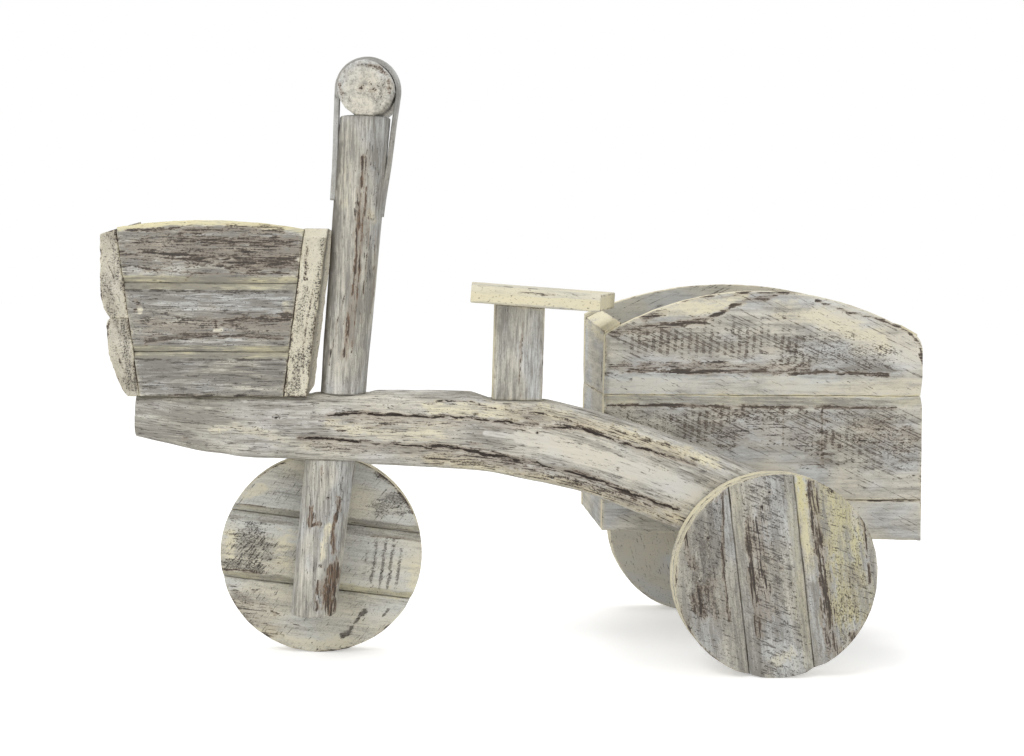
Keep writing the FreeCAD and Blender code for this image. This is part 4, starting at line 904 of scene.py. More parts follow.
def strip_bottom(x):
    """The strip's lower edge, which falls in a straight line from the front to the rear."""
    share = (x - BOX_FRONT) / (BOX_REAR - BOX_FRONT)
    return -BOX_WIDTH - STRIP_FRONT - (STRIP_REAR - STRIP_FRONT) * share


def arch(rise, radius):
    """An arc of a circle with its crown at the rise, and a small round corner at the rear."""
    def edge(x):
        """The arc's height at x, less a quarter ellipse over the last few millimetres."""
        height = rise - radius + np.sqrt(radius ** 2 - np.asarray(x) ** 2)
        corner = np.clip((np.asarray(x) - (BOX_REAR - ARCH_CORNER)) / ARCH_CORNER, 0, 1)
        return height - ARCH_DROP * (1 - np.sqrt(1 - 0.98 * corner ** 2))
    return edge


def box_side(side, y, facing, rise, radius, marks, seed, base):
    """Bottom strip, middle board and arched board. The far side's face looks the other way, so
    its x runs from the rear to the front."""
    def mirror(function):
        """The same edge for a face that looks the other way."""
        return lambda x: function(np.asarray(x) * facing)

    def ends(z):
        """The front end, upright, and the leaning rear end."""
        front, rear = np.full(np.shape(z), BOX_FRONT), rear_end(z)
        return (front, rear) if facing > 0 else (-rear, -front)

    span = (BOX_FRONT, BOX_REAR) if facing > 0 else (-BOX_REAR, -BOX_FRONT)
    rows = (("strip", mirror(strip_bottom), flat_edge(-BOX_WIDTH), None),
            ("middle", flat_edge(-BOX_WIDTH), flat_edge(0),
             bevelled(None, 0, 8.5, JOINT_DEPTH)),
            ("arch", flat_edge(0), mirror(arch(rise, radius)),
             bevelled(0, None, 18, JOINT_DEPTH)))
    for number, (title, low, high, face) in enumerate(rows):
        board("box_%s_%s_limed" % (side, title), box_frame(0, y, 0, (facing, 0, 0)), span, low,
              high, BOX_BOARD, "box_%s_board_%d" % (side, number + 1), face=face, ends=ends,
              seed=seed + number * 20, spacing=1.5, radius=0.8, marks=marks, base=base)


box_frame = tilted(BOX_ORIGIN, BOX_TILT)
box_side("near", 0, 1, 94.7, 277, BOX_MARKS, 311, {"saw": 0.2})
# Painted light: the far side's thicker paint lightens its inner face, which lies in the shade of
# the near side.
box_side("far", 2 * BOX_BOARD + BOX_INSIDE, -1, 99, 355, (), 411,
         {"saw": 0.3, "coat_light_and_shade": 0.4, "yellow": 0.08})
print("box sides", BOX_REAR - BOX_FRONT, "mm long")

# %% [markdown]
# ## The box's walls
# The end walls stand between the sides, two thick boards each. Their tops rise from the near
# side to the far one, and are planed to fall outwards, so that rain runs off.

# %% The box's walls
WALL, WALL_FALL = 16, 8.6
WALL_TOP, WALL_RISE = 56.5, 7.5
FRONT_WALL_MARKS = (
    ("knot", 7, 0.8, ((-8, 18),)),
    ("bare", 5, 0.7, ((-7, 36), (-8, 22), (-10, 6))),
    ("cream", 9, 0.8, ((-4, 50), (-60, 55), (-118, 60))),
    # Painted shade: a darker upright strip low on the front wall, close to the near side.
    ("grime_and_shade", 26, 0.4, ((-14, -10), (-14, -80))),
)


def wall_top(u):
    """The wall's upper edge, which rises in a straight line away from the near side."""
    return WALL_TOP + WALL_RISE * np.abs(u) / BOX_INSIDE


def falling(points):
    """The wall higher on its inner side: the lift grows with the height and with the depth."""
    moved = points.copy()
    moved[:, 1] += WALL_FALL * points[:, 1] / wall_top(points[:, 0]) * points[:, 2] / WALL
    return moved


def wall(end, x, facing, marks, seed):
    """A wall of two boards, seen from outside."""
    span = (-BOX_INSIDE, 0) if facing < 0 else (0, BOX_INSIDE)
    rows = (("lower", flat_edge(-BOX_WIDTH - STRIP_FRONT), flat_edge(0), None),
            ("upper", flat_edge(0), wall_top, falling))
    for number, (title, low, high, warp) in enumerate(rows):
        board("box_%s_%s_limed" % (end, title), box_frame(x, BOX_BOARD, 0, (0, facing, 0)), span,
              low, high, WALL, "box_%s_board_%d" % (end, number + 1), warp=warp, radius=0.6,
              rough=0.2, seed=seed + number * 20, marks=marks, base={"saw": 0.15, "coat_light_and_shade": 0.1})


wall("front", BOX_FRONT, -1, FRONT_WALL_MARKS, 511)
wall("rear", 146, 1, (), 551)
print("box walls", WALL_TOP, "to", WALL_TOP + WALL_RISE, "mm above the joint")

# %% [markdown]
# ## Inside the box
# Two floor boards lie between the walls, cut out at the corners for four upright battens that
# hold walls and sides together. A block between the box and the far wheel takes that wheel's
# screws. They are rough from the saw, because nobody sees them.

# %% The box's floor, battens and block
FLOOR_TOP, FLOOR_BOARD = -107.6, 61
BATTEN = 15
BATTEN_FRONT, BATTEN_REAR = -128, 115
ROUGH_PAINT = {"saw": 0.6}


def notched(x):
    """An edge that steps in by a batten's width near both ends."""
    in_corner = (np.asarray(x) < BATTEN_FRONT + BATTEN) | (np.asarray(x) > BATTEN_REAR)
    return np.where(in_corner, float(BATTEN), 0.0)


floor_edges = ((notched, flat_edge(FLOOR_BOARD)),
               (flat_edge(0), lambda x: FLOOR_BOARD - notched(x)))
for number, edges in enumerate(floor_edges, start=1):
    across = BOX_BOARD + FLOOR_BOARD * (number - 1)
    board("box_floor_%d_limed" % number,
          box_frame(0, across, FLOOR_TOP, (1, 0, 0), (0, 1, 0)),
          (BATTEN_FRONT, BATTEN_REAR + BATTEN), *edges, BOX_BOARD,
          "box_floor_board_%d" % number, seed=571 + number * 9, spacing=2,
          base={"saw": 0.6, "bare": 0.2})
corners = ((BATTEN_FRONT, 27, 1), (BATTEN_FRONT, 119, -1),
           (BATTEN_REAR, 27, 1), (BATTEN_REAR, 119, -1))
for number, (x, y, way) in enumerate(corners, start=1):
    start = x if way > 0 else x + BATTEN
    board("box_batten_%d_limed" % number, box_frame(start, y, 0, (0, 0, 1), (way, 0, 0)),
          (-119.6, 40), flat_edge(0), flat_edge(BATTEN), BATTEN, "box_batten_%d" % number,
          seed=600 + number * 9, base=ROUGH_PAINT)
board("far_wheel_block_limed", face_frame((0, 87, 0), (1, 0, 0), (0, 0, 1)), (185, 229),
      flat_edge(61.5), flat_edge(164.5), 20, "far_wheel_block", seed=651, base=ROUGH_PAINT)
print("box floor boards 2, battens", len(corners))

# %% [markdown]
# ## The basket's wear
# The basket's near side has weathered most. Bare streaks follow the fibre, dark lines stay in
# the joints, and cream paint is left on the bevels and along the planed top edge.

# %% The basket's marks
BASKET_MARKS = (
    ("bare", 28, 0.5, ((-62, 122), (0, 121), (64, 121))),
    ("bare", 20, 0.42, ((-50, 58), (0, 60), (60, 60))),
    ("bare", 9, 0.8, ((-26, 133), (10, 131), (66, 130))),
    ("bare", 6.5, 0.85, ((-38, 120), (-10, 117), (20, 117), (70, 114))),
    ("bare", 7, 0.7, ((14, 109), (40, 108), (70, 109))),
    ("bare", 7, 0.8, ((10, 62), (30, 64), (64, 67))),
    ("bare", 4.5, 0.95, ((-54, 45), (-30, 49), (0, 53))),
    ("bare", 3.2, 0.8, ((10, 51), (60, 50))),
    ("dark", 1.8, 1, ((-72, 89), (0, 88.6), (72, 89))),
    ("dark", 1.6, 1, ((-64, 31.5), (0, 31.2), (64, 31.5))),
    ("bare", 3, 0.7, ((-61, 80), (-58, 77))),
    ("bare", 4, 0.8, ((4, 64), (4, 58))),
    ("bare", 3, 0.9, ((-70, 139), (-42, 139), (-25, 141))),
    ("bare", 6.8, 0.7, ((-25, 137), (6, 140), (32, 142), (59, 140))),
    ("bare", 5.4, 0.8, ((-20, 133), (1, 131), (19, 132))),
    ("bare", 5.4, 1, ((-37, 120), (-26, 118), (-7, 118))),
    ("bare", 7.5, 0.75, ((8, 112), (32, 113), (52, 111), (70, 113))),
    ("bare", 4.9, 0.7, ((19, 123), (45, 118), (70, 117))),
    ("bare", 1.4, 0.9, ((-73, 110), (-53, 107), (-20, 104), (19, 103), (65, 104))),
    ("bare", 1.9, 0.7, ((-72, 119), (-56, 120), (-37, 121))),
    ("bare", 3.3, 0.8, ((-21, 98), (-15, 103))),
    ("dark", 3.5, 0.7, ((-56, 91), (-43, 94), (-27, 94))),
    ("bare", 4.6, 0.85, ((11, 63), (24, 65), (42, 66))),
    ("dark", 2.7, 0.7, ((-29, 66), (-8, 65))),
    ("dark", 1.6, 0.7, ((-51, 72), (-29, 67))),
    ("bare", 3.5, 0.9, ((-21, 52), (0, 54), (13, 51))),
    ("dark", 3, 0.8, ((-54, 46), (-38, 49), (-21, 52))),
    ("dark", 2.2, 0.6, ((13, 51), (32, 54), (58, 51))),
    ("dark", 1.9, 0.6, ((42, 69), (65, 70))),
    ("bare", 2.7, 0.8, ((-60, 77), (-62, 71))),
    ("cream", 9.5, 0.7, ((-56, 97), (6, 96), (68, 96))),
    ("cream", 6.8, 0.6, ((-60, 37), (-8, 37), (61, 38))),
    ("cream", 5.4, 0.8, ((62, 77), (65, 72))),
    ("cream", 8, 0.9, ((-70, 143), (0, 147), (70, 143))),
    ("bare", 1.9, 0.9, ((-35, 1), (0, 1))),
    # Painted shade: a dark line along the basket's bottom edge, where it sits on the beam.
    ("dark", 1.4, 0.7, ((-56, 1), (58, 1))),
    ("grime_and_shade", 16.3, 0.5, ((-54, 20), (56, 20))),
    ("bare", 5.4, 0.6, ((67, 130), (72, 133))),
    ("cream", 8, 1, ((-74, 142), (-30, 147), (30, 147), (74, 142))),
    ("coat_light_and_shade", 8, 1.2, ((-74, 142), (-30, 147), (30, 147), (74, 142))),
    ("plug", 5, 0.6, ((-58.4, 73.5), (-58.4, 71))),
    ("plug", 3.2, 0.6, ((3, 56), (9, 56.4))),
)
print("marks on the basket", len(BASKET_MARKS))

# %% [markdown]
# ## The basket's sides
# The basket flares upwards, so its boards are drawn between two leaning ends. Each side has
# three boards, bevelled at the joints, with a top edge that rises in the middle.

# %% The basket's sides
BASKET_ORIGIN = (-272, -105, 230.2)
BASKET_TILT = -1.2
BASKET_DEPTH = 118
BASKET_BOARD = 12
BASKET_HALF, BASKET_FLARE, FLARE_HEIGHT = 59.4, 17.1, 135.6
BASKET_JOINTS = (0, 37.6, 95.3)
BEVEL_WIDTH, BEVEL_DEPTH, TOP_BEVEL = 6, 4, 4.5
CROWN_ENDS, CROWN_RISE, CROWN_RADIUS = 141.3, 6.6, 454.8
BASKET_BEVEL_PAINT = {"yellow": 0.55, "coat_light_and_shade": -0.35}


def flare(z):
    """Half the basket's inside length at a height, growing in a straight line."""
    return BASKET_HALF + BASKET_FLARE * np.asarray(z) / FLARE_HEIGHT


def crowned(x):
    """The top edge: an arc of a circle that rises between the basket's ends."""
    middle = CROWN_ENDS + CROWN_RISE - CROWN_RADIUS
    return middle + np.sqrt(CROWN_RADIUS ** 2 - np.asarray(x) ** 2)


def basket_side(side, y, facing, marks, seed, base):
    """Three boards between leaning ends. The near side's top edge is bevelled too, 1 mm deeper
    for each millimetre towards the edge."""
    for number, lower in enumerate(BASKET_JOINTS, start=1):
        highest = number == len(BASKET_JOINTS)
        upper = CROWN_ENDS if highest else BASKET_JOINTS[number]
        at_joints = bevelled(lower if number > 1 else None, None if highest else upper,
                             BEVEL_WIDTH, BEVEL_DEPTH)
        top_bevel = TOP_BEVEL if highest and facing > 0 else 0

        def face(x, z, top):
            """The bevels at the joints and the one along the top edge, added up."""
            return at_joints(x, z, top) + np.clip(top_bevel - (top - z), 0, top_bevel)

        reach = float(flare(upper))
        board("basket_%s_%d_limed" % (side, number), basket_frame(0, y, 0, (facing, 0, 0)),
              (-reach, reach), flat_edge(lower), crowned if highest else flat_edge(upper),
              BASKET_BOARD, "basket_%s_board_%d" % (side, number), basket_wood, face=face,
              ends=lambda z: (-flare(z), flare(z)), spacing=1.0, radius=0.5,
              seed=seed + number * 20, marks=marks, base=base, facet=BASKET_BEVEL_PAINT)


basket_frame = tilted(BASKET_ORIGIN, BASKET_TILT)
basket_side("near", 0, 1, BASKET_MARKS, 711, {"fleck": 0.6})
basket_side("far", BASKET_DEPTH, -1, (), 811, {"fleck": 0.2, "saw": 0.2})
print("basket boards", 2 * len(BASKET_JOINTS))

# %% [markdown]
# ## The basket's slabs
# Two half-round slabs close the front and one thick panel the back. The slabs are split from a
# branch and keep its round side. All three turn their sawn end grain to the viewer, so their
# fibre runs through the depth. Seen from the end, a slab is a board from the basket's flare to
# the bark. Two floor boards lie between them.

# %% The basket's slabs


def arc_between(u, start, end, radius):
    """The outward height at u of an arc that bulges between two points."""
    middle = (np.array(start) + np.array(end)) / 2
    run = np.array(end) - np.array(start)
    half = np.linalg.norm(run) / 2
    normal = np.array([-run[1], run[0]]) / np.linalg.norm(run)
    centre = middle - normal * math.sqrt(radius ** 2 - half ** 2)
    return centre[1] + np.sqrt(np.maximum(radius ** 2 - (u - centre[0]) ** 2, 0))


# Places up the slabs and how far out their bark lies there, from the basket's middle.
WAIST, SHOULDER, TURN, SLAB_TOP = 65.5, 56.0, 86.5, 139.5
FOOT_OUT, SHOULDER_OUT, WAIST_OUT, SLAB_FACE = 70.4, 86.5, 83.7, 90.8
FAR_RISE = 10
PANEL, PANEL_TOP, PANEL_BEVEL = 19.8, 142, 8


def lower_bark(u):
    """The lower slab's bark side: a wide bulge, and a rounded nose at the joint."""
    u = np.asarray(u, float)
    wide = arc_between(u, (0, FOOT_OUT), (SHOULDER, SHOULDER_OUT), 100)
    nose = arc_between(u, (SHOULDER, SHOULDER_OUT), (WAIST, WAIST_OUT), 12)
    return np.where(u < SHOULDER, wide, nose)


def upper_bark(u):
    """The upper slab's bark side: a round shoulder from the joint, then straight."""
    u = np.asarray(u, float)
    shoulder = arc_between(u, (WAIST, WAIST_OUT), (TURN, SLAB_FACE), 40)
    return np.where(u < TURN, shoulder, SLAB_FACE)


def bark(points, seed=0):
    """The long sides of a split piece are ridged along the fibre and never straight."""
    moved = points.copy()
    along = points[:, 2]
    ridges = layered_noise(along, points[:, 0], 70, 7, seed + 31)
    inner = ease(points[:, 1] - flare(points[:, 0]), 6, 14)
    moved[:, 1] -= inner * (0.8 + 0.8 * ridges) * ease(along, 0, 6)
    return moved


def upper_shape(points):
    """The upper slab's far end stands 10 mm higher than its near one."""
    moved = bark(points, 5)
    height = (points[:, 0] - WAIST) / (SLAB_TOP - WAIST)
    moved[:, 0] += FAR_RISE * points[:, 2] / BASKET_DEPTH * height
    return moved


def upper_ends(z):
    """The upper slab's two ends: level at the joint, and sloping down outwards at the top."""
    return np.full(np.shape(z), WAIST), 135 + 4.5 * (SLAB_FACE - z) / 13.8


SLAB_MARKS = (
    ("bare", 2.5, 0.9, ((62, 84), (50, 87))),
    ("dark", 2, 0.8, ((3, 62), (20, 64))),
    ("fleck", 10, 1.0, ((60, 72), (40, 70), (8, 66))),
    ("fleck", 8, 0.9, ((136, 80), (92, 74))),
    ("fleck", 12, 0.8, ((70, 82), (96, 86))),
    ("crack", 0.7, 0.7, ((20, 70), (34, 77), (42, 79))),
    ("crack", 0.6, 0.6, ((100, 80), (116, 86))),
    ("crack", 0.6, 0.6, ((84, 76), (88, 84))),
)
PANEL_MARKS = (
    ("crack", 0.7, 0.8, ((20, -76), (60, -79), (90, -84))),
    ("bare", 3, 0.7, ((100, -78), (126, -80))),
    ("fleck", 5, 1.0, ((24, -80), (70, -86), (134, -94))),
    ("fleck", 16, 1.1, ((6, -68), (32, -72))),
    ("fleck", 9, 0.9, ((56, -72), (88, -78))),
)
SLAB_PAINT = {"cream": 0.15, "fleck": 0.25}
end_grain = dict(thickness=BASKET_DEPTH, material=slab_wood, slot="slab_wood", fibre=2,
                 spacing=0.8, rims=69, rough=0.7, radius=1.6, rubbed=1.3,
                 rim={"cream": 0.35, "coat_light_and_shade": 0.1, "bare": 0.3, "fleck": 0.1})
upright = basket_frame(0, 0, 0, (0, 0, 1), (-1, 0, 0))
board("basket_lower_slab_limed", upright, (0, WAIST), flare, lower_bark,
      node="basket_lower_slab", warp=bark, seed=911, marks=SLAB_MARKS, base=SLAB_PAINT,
      **end_grain)
board("basket_upper_slab_limed", upright, (WAIST, SLAB_TOP), flare, upper_bark,
      node="basket_upper_slab", warp=upper_shape, ends=upper_ends, seed=931, marks=SLAB_MARKS,
      base=SLAB_PAINT, **end_grain)
board("basket_rear_panel_limed", upright, (0, PANEL_TOP), lambda u: -flare(u) - PANEL,
      lambda u: -flare(u), node="basket_rear_panel", seed=951, marks=PANEL_MARKS,
      face=lambda x, z, top: PANEL_BEVEL * np.clip(1 - (PANEL_TOP - x) / PANEL_BEVEL, 0, 1),
      base={"cream": 0.25, "fleck": 0.2, "coat_light_and_shade": 0.35, "yellow": 0.1}, **end_grain)
floor_width = BASKET_DEPTH / 2 - BASKET_BOARD
for number in (1, 2):
    across = BASKET_BOARD + floor_width * (number - 1)
    board("basket_floor_%d_limed" % number,
          basket_frame(0, across, BASKET_BOARD, (1, 0, 0), (0, 1, 0)),
          (-BASKET_HALF, BASKET_HALF), flat_edge(0), flat_edge(floor_width), BASKET_BOARD,
          "basket_floor_board_%d" % number, basket_wood, seed=970 + number * 9, spacing=2,
          base={"bare": 0.2})
print("slabs up to", SLAB_TOP, "mm")

# %% [markdown]
# ## The seat
# The seat is a board with skew ends, laid level across a short upright board. Its near upper
# edge is planed off. The upright's head is sawn to the seat's slope.

# %% The seat
SEAT_SLOPE, SEAT_ROLL = 2.6, 1.5
SEAT_MIDDLE = (-12.7, -83, 314.0)
SEAT_THICK, SEAT_BEVEL = 15, 4
SEAT_NEAR, SEAT_FAR = -30, 70
POST_HALF, POST_FOOT, POST_HEAD, POST_THICK = 21.25, 231.5, 313.7, 24
POST_HEIGHT, HEAD_ROLL = 82, 0.026


def seat_ends(z):
    """The seat's skew ends: each a straight line from the near edge to the far one."""
    share = (z - SEAT_NEAR) / (SEAT_FAR - SEAT_NEAR)
    return -44.3 + 5.5 * share, 66.1 + 27.6 * share


def rolled(points):
    """The upright's head sawn to the seat's roll: higher towards the far side."""
    lift = (points[:, 1] - POST_FOOT) / POST_HEIGHT * (points[:, 2] - POST_THICK / 2) * HEAD_ROLL
    return points + np.outer(lift, (0, 1, 0))


roll = math.radians(SEAT_ROLL)
seat_along = turned(SEAT_SLOPE, (1, 0, 0))
seat_across = turned(SEAT_SLOPE, (0, math.cos(roll), math.sin(roll)))
seat_top = np.array(SEAT_MIDDLE) + np.cross(seat_along, seat_across) * SEAT_THICK
board("seat_board_limed", face_frame(seat_top, seat_along, seat_across), (-44.3, 93.7),
      flat_edge(SEAT_NEAR), flat_edge(SEAT_FAR), SEAT_THICK, "seat_board", ends=seat_ends,
      face=bevelled(SEAT_NEAR, None, SEAT_BEVEL, SEAT_BEVEL), seed=1011, rough=0.5,
      base={"cream": 0.5, "coat_light_and_shade": 0.15, "yellow": 0.15},
      marks=(("bare", 1.3, 0.8, ((-4, -28.6), (27, -28.8))),
             ("bare", 2, 0.7, ((-38, -24), (-30, -23)))))
board("seat_post_limed", face_frame((-12.7, -95, 0), (1, 0, 0), (0, 0, 1)),
      (-POST_HALF, POST_HALF), flat_edge(POST_FOOT),
      lambda x: POST_HEAD - math.tan(math.radians(SEAT_SLOPE)) * np.asarray(x), POST_THICK,
      "seat_post", branch_wood, fibre=1, rough=0.4, warp=rolled, seed=1031,
      marks=(("bare", 1.6, 0.7, ((2, 300), (1, 260), (2, 236))),), base={"coat_light_and_shade": -0.18})
print("seat at", seat_top.round(1), "mm")

# %% [markdown]
# ## The beam's wear
# Drying has opened long cracks in the bent branch, beside a middle that stayed smooth. Its near
# face has weathered bare in streaks that follow the bend. The marks are places on the stand.

# %% The beam's marks
BEAM_MARKS = (
    ("bare", 13, 0.50, ((-20, 222), (40, 214), (90, 200), (140, 185))),
    ("bare", 18, 0.52, ((-90, 186), (-20, 178), (40, 162), (100, 141), (135, 128))),
    ("bare", 12, 0.42, ((-180, 214), (-120, 214), (-60, 212), (-10, 209))),
    ("bare", 9, 0.42, ((-190, 192), (-130, 189), (-80, 187))),
    ("bare", 5.1, 0.9, ((29, 174), (43, 172), (72, 162), (92, 149))),
    ("bare", 4.3, 0.7, ((-52, 195), (-23, 185), (7, 178))),
    ("bare", 2.3, 0.8, ((38, 212), (66, 205), (94, 194))),
    ("bare", 2, 0.6, ((10, 225), (50, 214), (90, 203), (120, 196))),
    ("bare", 3.7, 0.8, ((-166, 203), (-161, 203))),
    ("bare", 4, 0.6, ((-141, 207), (-131, 208))),
    ("bare", 3.4, 0.6, ((-94, 193), (-79, 191))),
    ("bare", 2.7, 0.5, ((-295, 194), (-290, 196))),
    ("bare", 2.7, 0.5, ((-237, 183), (-232, 183))),
    ("bare", 3.5, 0.7, ((-6, 218), (4, 213))),
    ("bare", 2.7, 0.6, ((-51, 220), (-47, 222))),
    ("fleck", 9.8, 0.9, ((-28, 185), (11, 174), (42, 163), (88, 145))),
    ("fleck", 5.9, 0.7, ((-88, 190), (-48, 183), (-8, 176))),
    ("fleck", 5.9, 0.6, ((6, 225), (50, 218), (100, 204))),
    ("fleck", 6.7, 0.6, ((-174, 205), (-133, 204), (-91, 205))),
    ("fleck", 5, 0.7, ((-247, 205), (-224, 199))),
    ("fleck", 4, 0.8, ((-291, 189), (-270, 189))),
    ("cream", 9.8, 1, ((6, 225), (50, 214), (90, 203), (131, 190), (161, 183))),
    ("cream", 11.7, 0.9, ((-88, 223), (-49, 224), (-14, 221))),
    ("cream", 9.8, 0.9, ((-87, 182), (-28, 171), (24, 164), (92, 141), (129, 132))),
    ("cream", 10.1, 0.7, ((-174, 208), (-124, 201), (-79, 205))),
    ("cream", 8.4, 0.5, ((-270, 201), (-257, 206), (-191, 191))),
    ("smooth", 5, 1, ((-40, 204), (-20, 202), (0, 200))),
    ("smooth", 11, 1, ((-12, 201), (10, 197))),
    ("smooth", 17, 1, ((12, 196), (51, 185), (91, 173), (128, 160), (142, 154))),
    # Painted shade: a dark band along the beam's top edge, where the basket sits on it.
    ("grime_and_shade", 8.4, 0.5, ((-329, 222), (-290, 224), (-224, 224))),
    ("coat_light_and_shade", 60, -0.42, ((-335, 205), (-268, 205))),
    ("coat_light_and_shade", 60, -0.2, ((-240, 205), (-205, 205))),
    ("cream", 2, 1, ((-265, 203), (-264, 196))),
    ("crack", 1.5, 1, ((-175, 217), (-162, 218), (-150, 220), (-125, 218), (-94, 217),
                       (-80, 217))),
    ("crack", 1.4, 1, ((-88, 217), (-53, 217), (-23, 214), (4, 212))),
    ("crack", 1.4, 1, ((10, 211), (40, 211), (62, 204), (90, 195), (121, 187), (143, 180))),
    ("crack", 1.5, 1, ((-199, 197), (-174, 197), (-149, 195), (-124, 193), (-107, 192),
                       (-79, 191))),
    ("crack", 1.8, 1, ((-88, 193), (-64, 191), (-38, 186), (-9, 182), (23, 175), (51, 168),
                       (72, 161), (96, 151), (129, 141))),
    ("crack", 0.9, 0.6, ((-177, 187), (-157, 186), (-132, 187), (-107, 186), (-100, 185))),
    ("crack", 0.9, 0.8, ((-89, 230), (-53, 231), (-40, 227), (-6, 225), (14, 221), (50, 214))),
    ("crack", 0.8, 0.6, ((-87, 181), (-58, 177), (-22, 175))),
    ("hole", 1.8, 1, ((4, 206),)),
    ("hole", 1.8, 1, ((75, 176),)),
    ("hole", 1.7, 0.8, ((-164, 203),)),
    ("knot", 2.7, 0.7, ((70, 201),)),
    ("knot", 4, 0.6, ((-218, 213),)),
    ("knot", 3.9, 0.7, ((-50, 220),)),
)
print("marks on the beam", len(BEAM_MARKS))

# %% [markdown]
# ## Branches as tubes
# A branch is a ring of points carried along a line, with smaller rings that close both ends. A
# curve with a bevel would do the same, but here each ring can have its own shape, and a crack
# can sink into it.

# %% Tubes


def section(flat_near, flat_top, flat_far, corner):
    """A rounded rectangle's ring: for each point the corner it belongs to, as (across, up)
    from -1 to 1, and the way out there. Sides run between their two corners."""
    def line(count, way, start, end):
        """Even places between two corners, all with the same way out."""
        steps = np.linspace(0, 1, count, endpoint=False)[1:, None]
        return np.hstack([np.array(start) * (1 - steps) + np.array(end) * steps,
                          np.tile(way, (count - 1, 1))])

    def turn(at, first):
        """A quarter circle at a corner: the way out is the cosine and sine of its angle."""
        angles = np.radians(first - np.linspace(0, 90, corner))
        return np.column_stack([np.tile(at, (corner, 1)), np.cos(angles), np.sin(angles)])

    parts = [line(flat_near, (-1, 0), (-1, -1), (-1, 1)), turn((-1, 1), 180),
             line(flat_top, (0, 1), (-1, 1), (1, 1)), turn((1, 1), 90),
             line(flat_far, (1, 0), (1, 1), (1, -1)), turn((1, -1), 0),
             line(flat_top, (0, -1), (1, -1), (-1, -1)), turn((-1, -1), -90)]
    return np.concatenate(parts)


def tube_quads(rings):
    """Quads between rings, and a strip of quads over each end."""
    rows, columns = rings.shape[:2]
    index = np.arange(rows * columns).reshape(rows, columns)
    after = np.roll(index, -1, 1)
    sides = np.stack([index[:-1], after[:-1], after[1:], index[1:]], -1).reshape(-1, 4)
    step = np.arange(columns // 2 - 1)
    strip = np.stack([step, columns - 1 - step, columns - 2 - step, step + 1], -1)
    return np.concatenate([sides, strip, strip[:, ::-1] + (rows - 1) * columns])


def with_ends(rings, out_first, out_last, shares, dish):
    """Add smaller rings over both ends, each a little further out or in."""
    def end(ring, way):
        """The ring shrunk to each share round its middle, moved out by what it has lost."""
        centre = ring.mean(0)
        return [centre + (ring - centre) * share + np.array(way, float) * dish * (1 - share)
                for share in shares]

    return np.concatenate([end(rings[0], out_first)[::-1], rings, end(rings[-1], out_last)])


def shown_marks(points, marks, seed, facing, base, fibre=0):
    """The layers of marks as far as each point faces the viewer, and the base elsewhere. Facing
    has no rows for the rings over both ends, where it counts as 0."""
    spare = (len(points) - facing.size) // 2
    facing = np.pad(facing.ravel(), spare)
    layers = worn_layers(points[:, 0], points[:, 1], marks, seed, fibre, base)
    return {layer: layers[layer] * facing + base.get(layer, 0) * (1 - facing)
            for layer in LAYERS}


print("a squared branch's ring has", len(section(64, 20, 28, 9)), "points")

# %% [markdown]
# ## The bent beam's form
# One branch, squared by hand, carries everything. Each place along it has its own upper and
# lower edge, read off at twelve places and evened out between them. It is planed level where
# the basket, the posts and the leg meet it, and the planing runs out in a slope past each flat.

# %% The beam's form
BEAM_SPAN = (-335.0, 252.0)
BEAM_SIDES = (-107.0, -59.0)
BEAM_BOTTOM, BEAM_RISE = 88.5, 149.5
BEAM_CORNER = 14
# Places along the beam as shares of its length, and its two edges there as shares of its rise.
BEAM_LEVELS = (
    (0, 0.957, 0.703),
    (0.089, 0.960, 0.619),
    (0.148, 0.963, 0.592),
    (0.230, 0.973, 0.585),
    (0.325, 0.995, 0.573),
    (0.494, 1, 0.545),
    (0.591, 0.973, 0.475),
    (0.647, 0.926, 0.425),
    (0.736, 0.833, 0.300),
    (0.828, 0.709, 0.158),
    (0.922, 0.569, -0.047),
    (1, 0.445, -0.177),
)
EVENED = 20
STEERING_FLAT, LEG_FLAT = 234.0, 177.5
RUN_OUT = 0.35


def beyond(x, first, last):
    """How far a place lies outside a span: the longer way past either end, 0 inside."""
    return np.maximum(np.maximum(first - x, x - last), 0)


def evened(x, column):
    """One edge at each x: a straight line between levels, averaged over the nearest places with
    weights that fall off as a cosine does."""
    levels = np.array(BEAM_LEVELS)
    share = (x - BEAM_SPAN[0]) / (BEAM_SPAN[1] - BEAM_SPAN[0])
    edge = BEAM_BOTTOM + BEAM_RISE * np.interp(share, levels[:, 0], levels[:, column])
    weights = np.hanning(2 * EVENED + 1) / np.hanning(2 * EVENED + 1).sum()
    return np.convolve(np.pad(edge, EVENED, mode="reflect", reflect_type="odd"), weights, "valid")


beam_x = np.linspace(*BEAM_SPAN, 520)
upper, lower = evened(beam_x, 1), evened(beam_x, 2)
under_basket = (BASKET_ORIGIN[2]
                + math.tan(math.radians(-BASKET_TILT)) * (beam_x - BASKET_ORIGIN[0]))
flats = ((-340, -191, under_basket), (-184.7, -141.3, STEERING_FLAT), (-36, 10.6, POST_FOOT))
ceiling = np.min([plane + RUN_OUT * beyond(beam_x, first, last) for first, last, plane in flats],
                 axis=0)
ground = LEG_FLAT - RUN_OUT * beyond(beam_x, -197.1, -148.3)
print("beam", (upper - lower).min().round(1), "to", (upper - lower).max().round(1), "mm high")

# %% [markdown]
# ## The bent beam's surface
# A hand axe leaves low facets and the dried fibre fine ridges. The surface sinks wherever the
# crack layer is strong, so a crack is cut into the shape and stained by the same marks. The
# fibre follows the bend, so the wood's place is measured along the beam's own heart.

# %% The beam
WORLD_FACE = face_frame((0, 0, 0), (1, 0, 0), (0, 0, 1))
BEAM_END_SHARES = (0.97, 0.85, 0.65, 0.45, 0.25, 0.08)

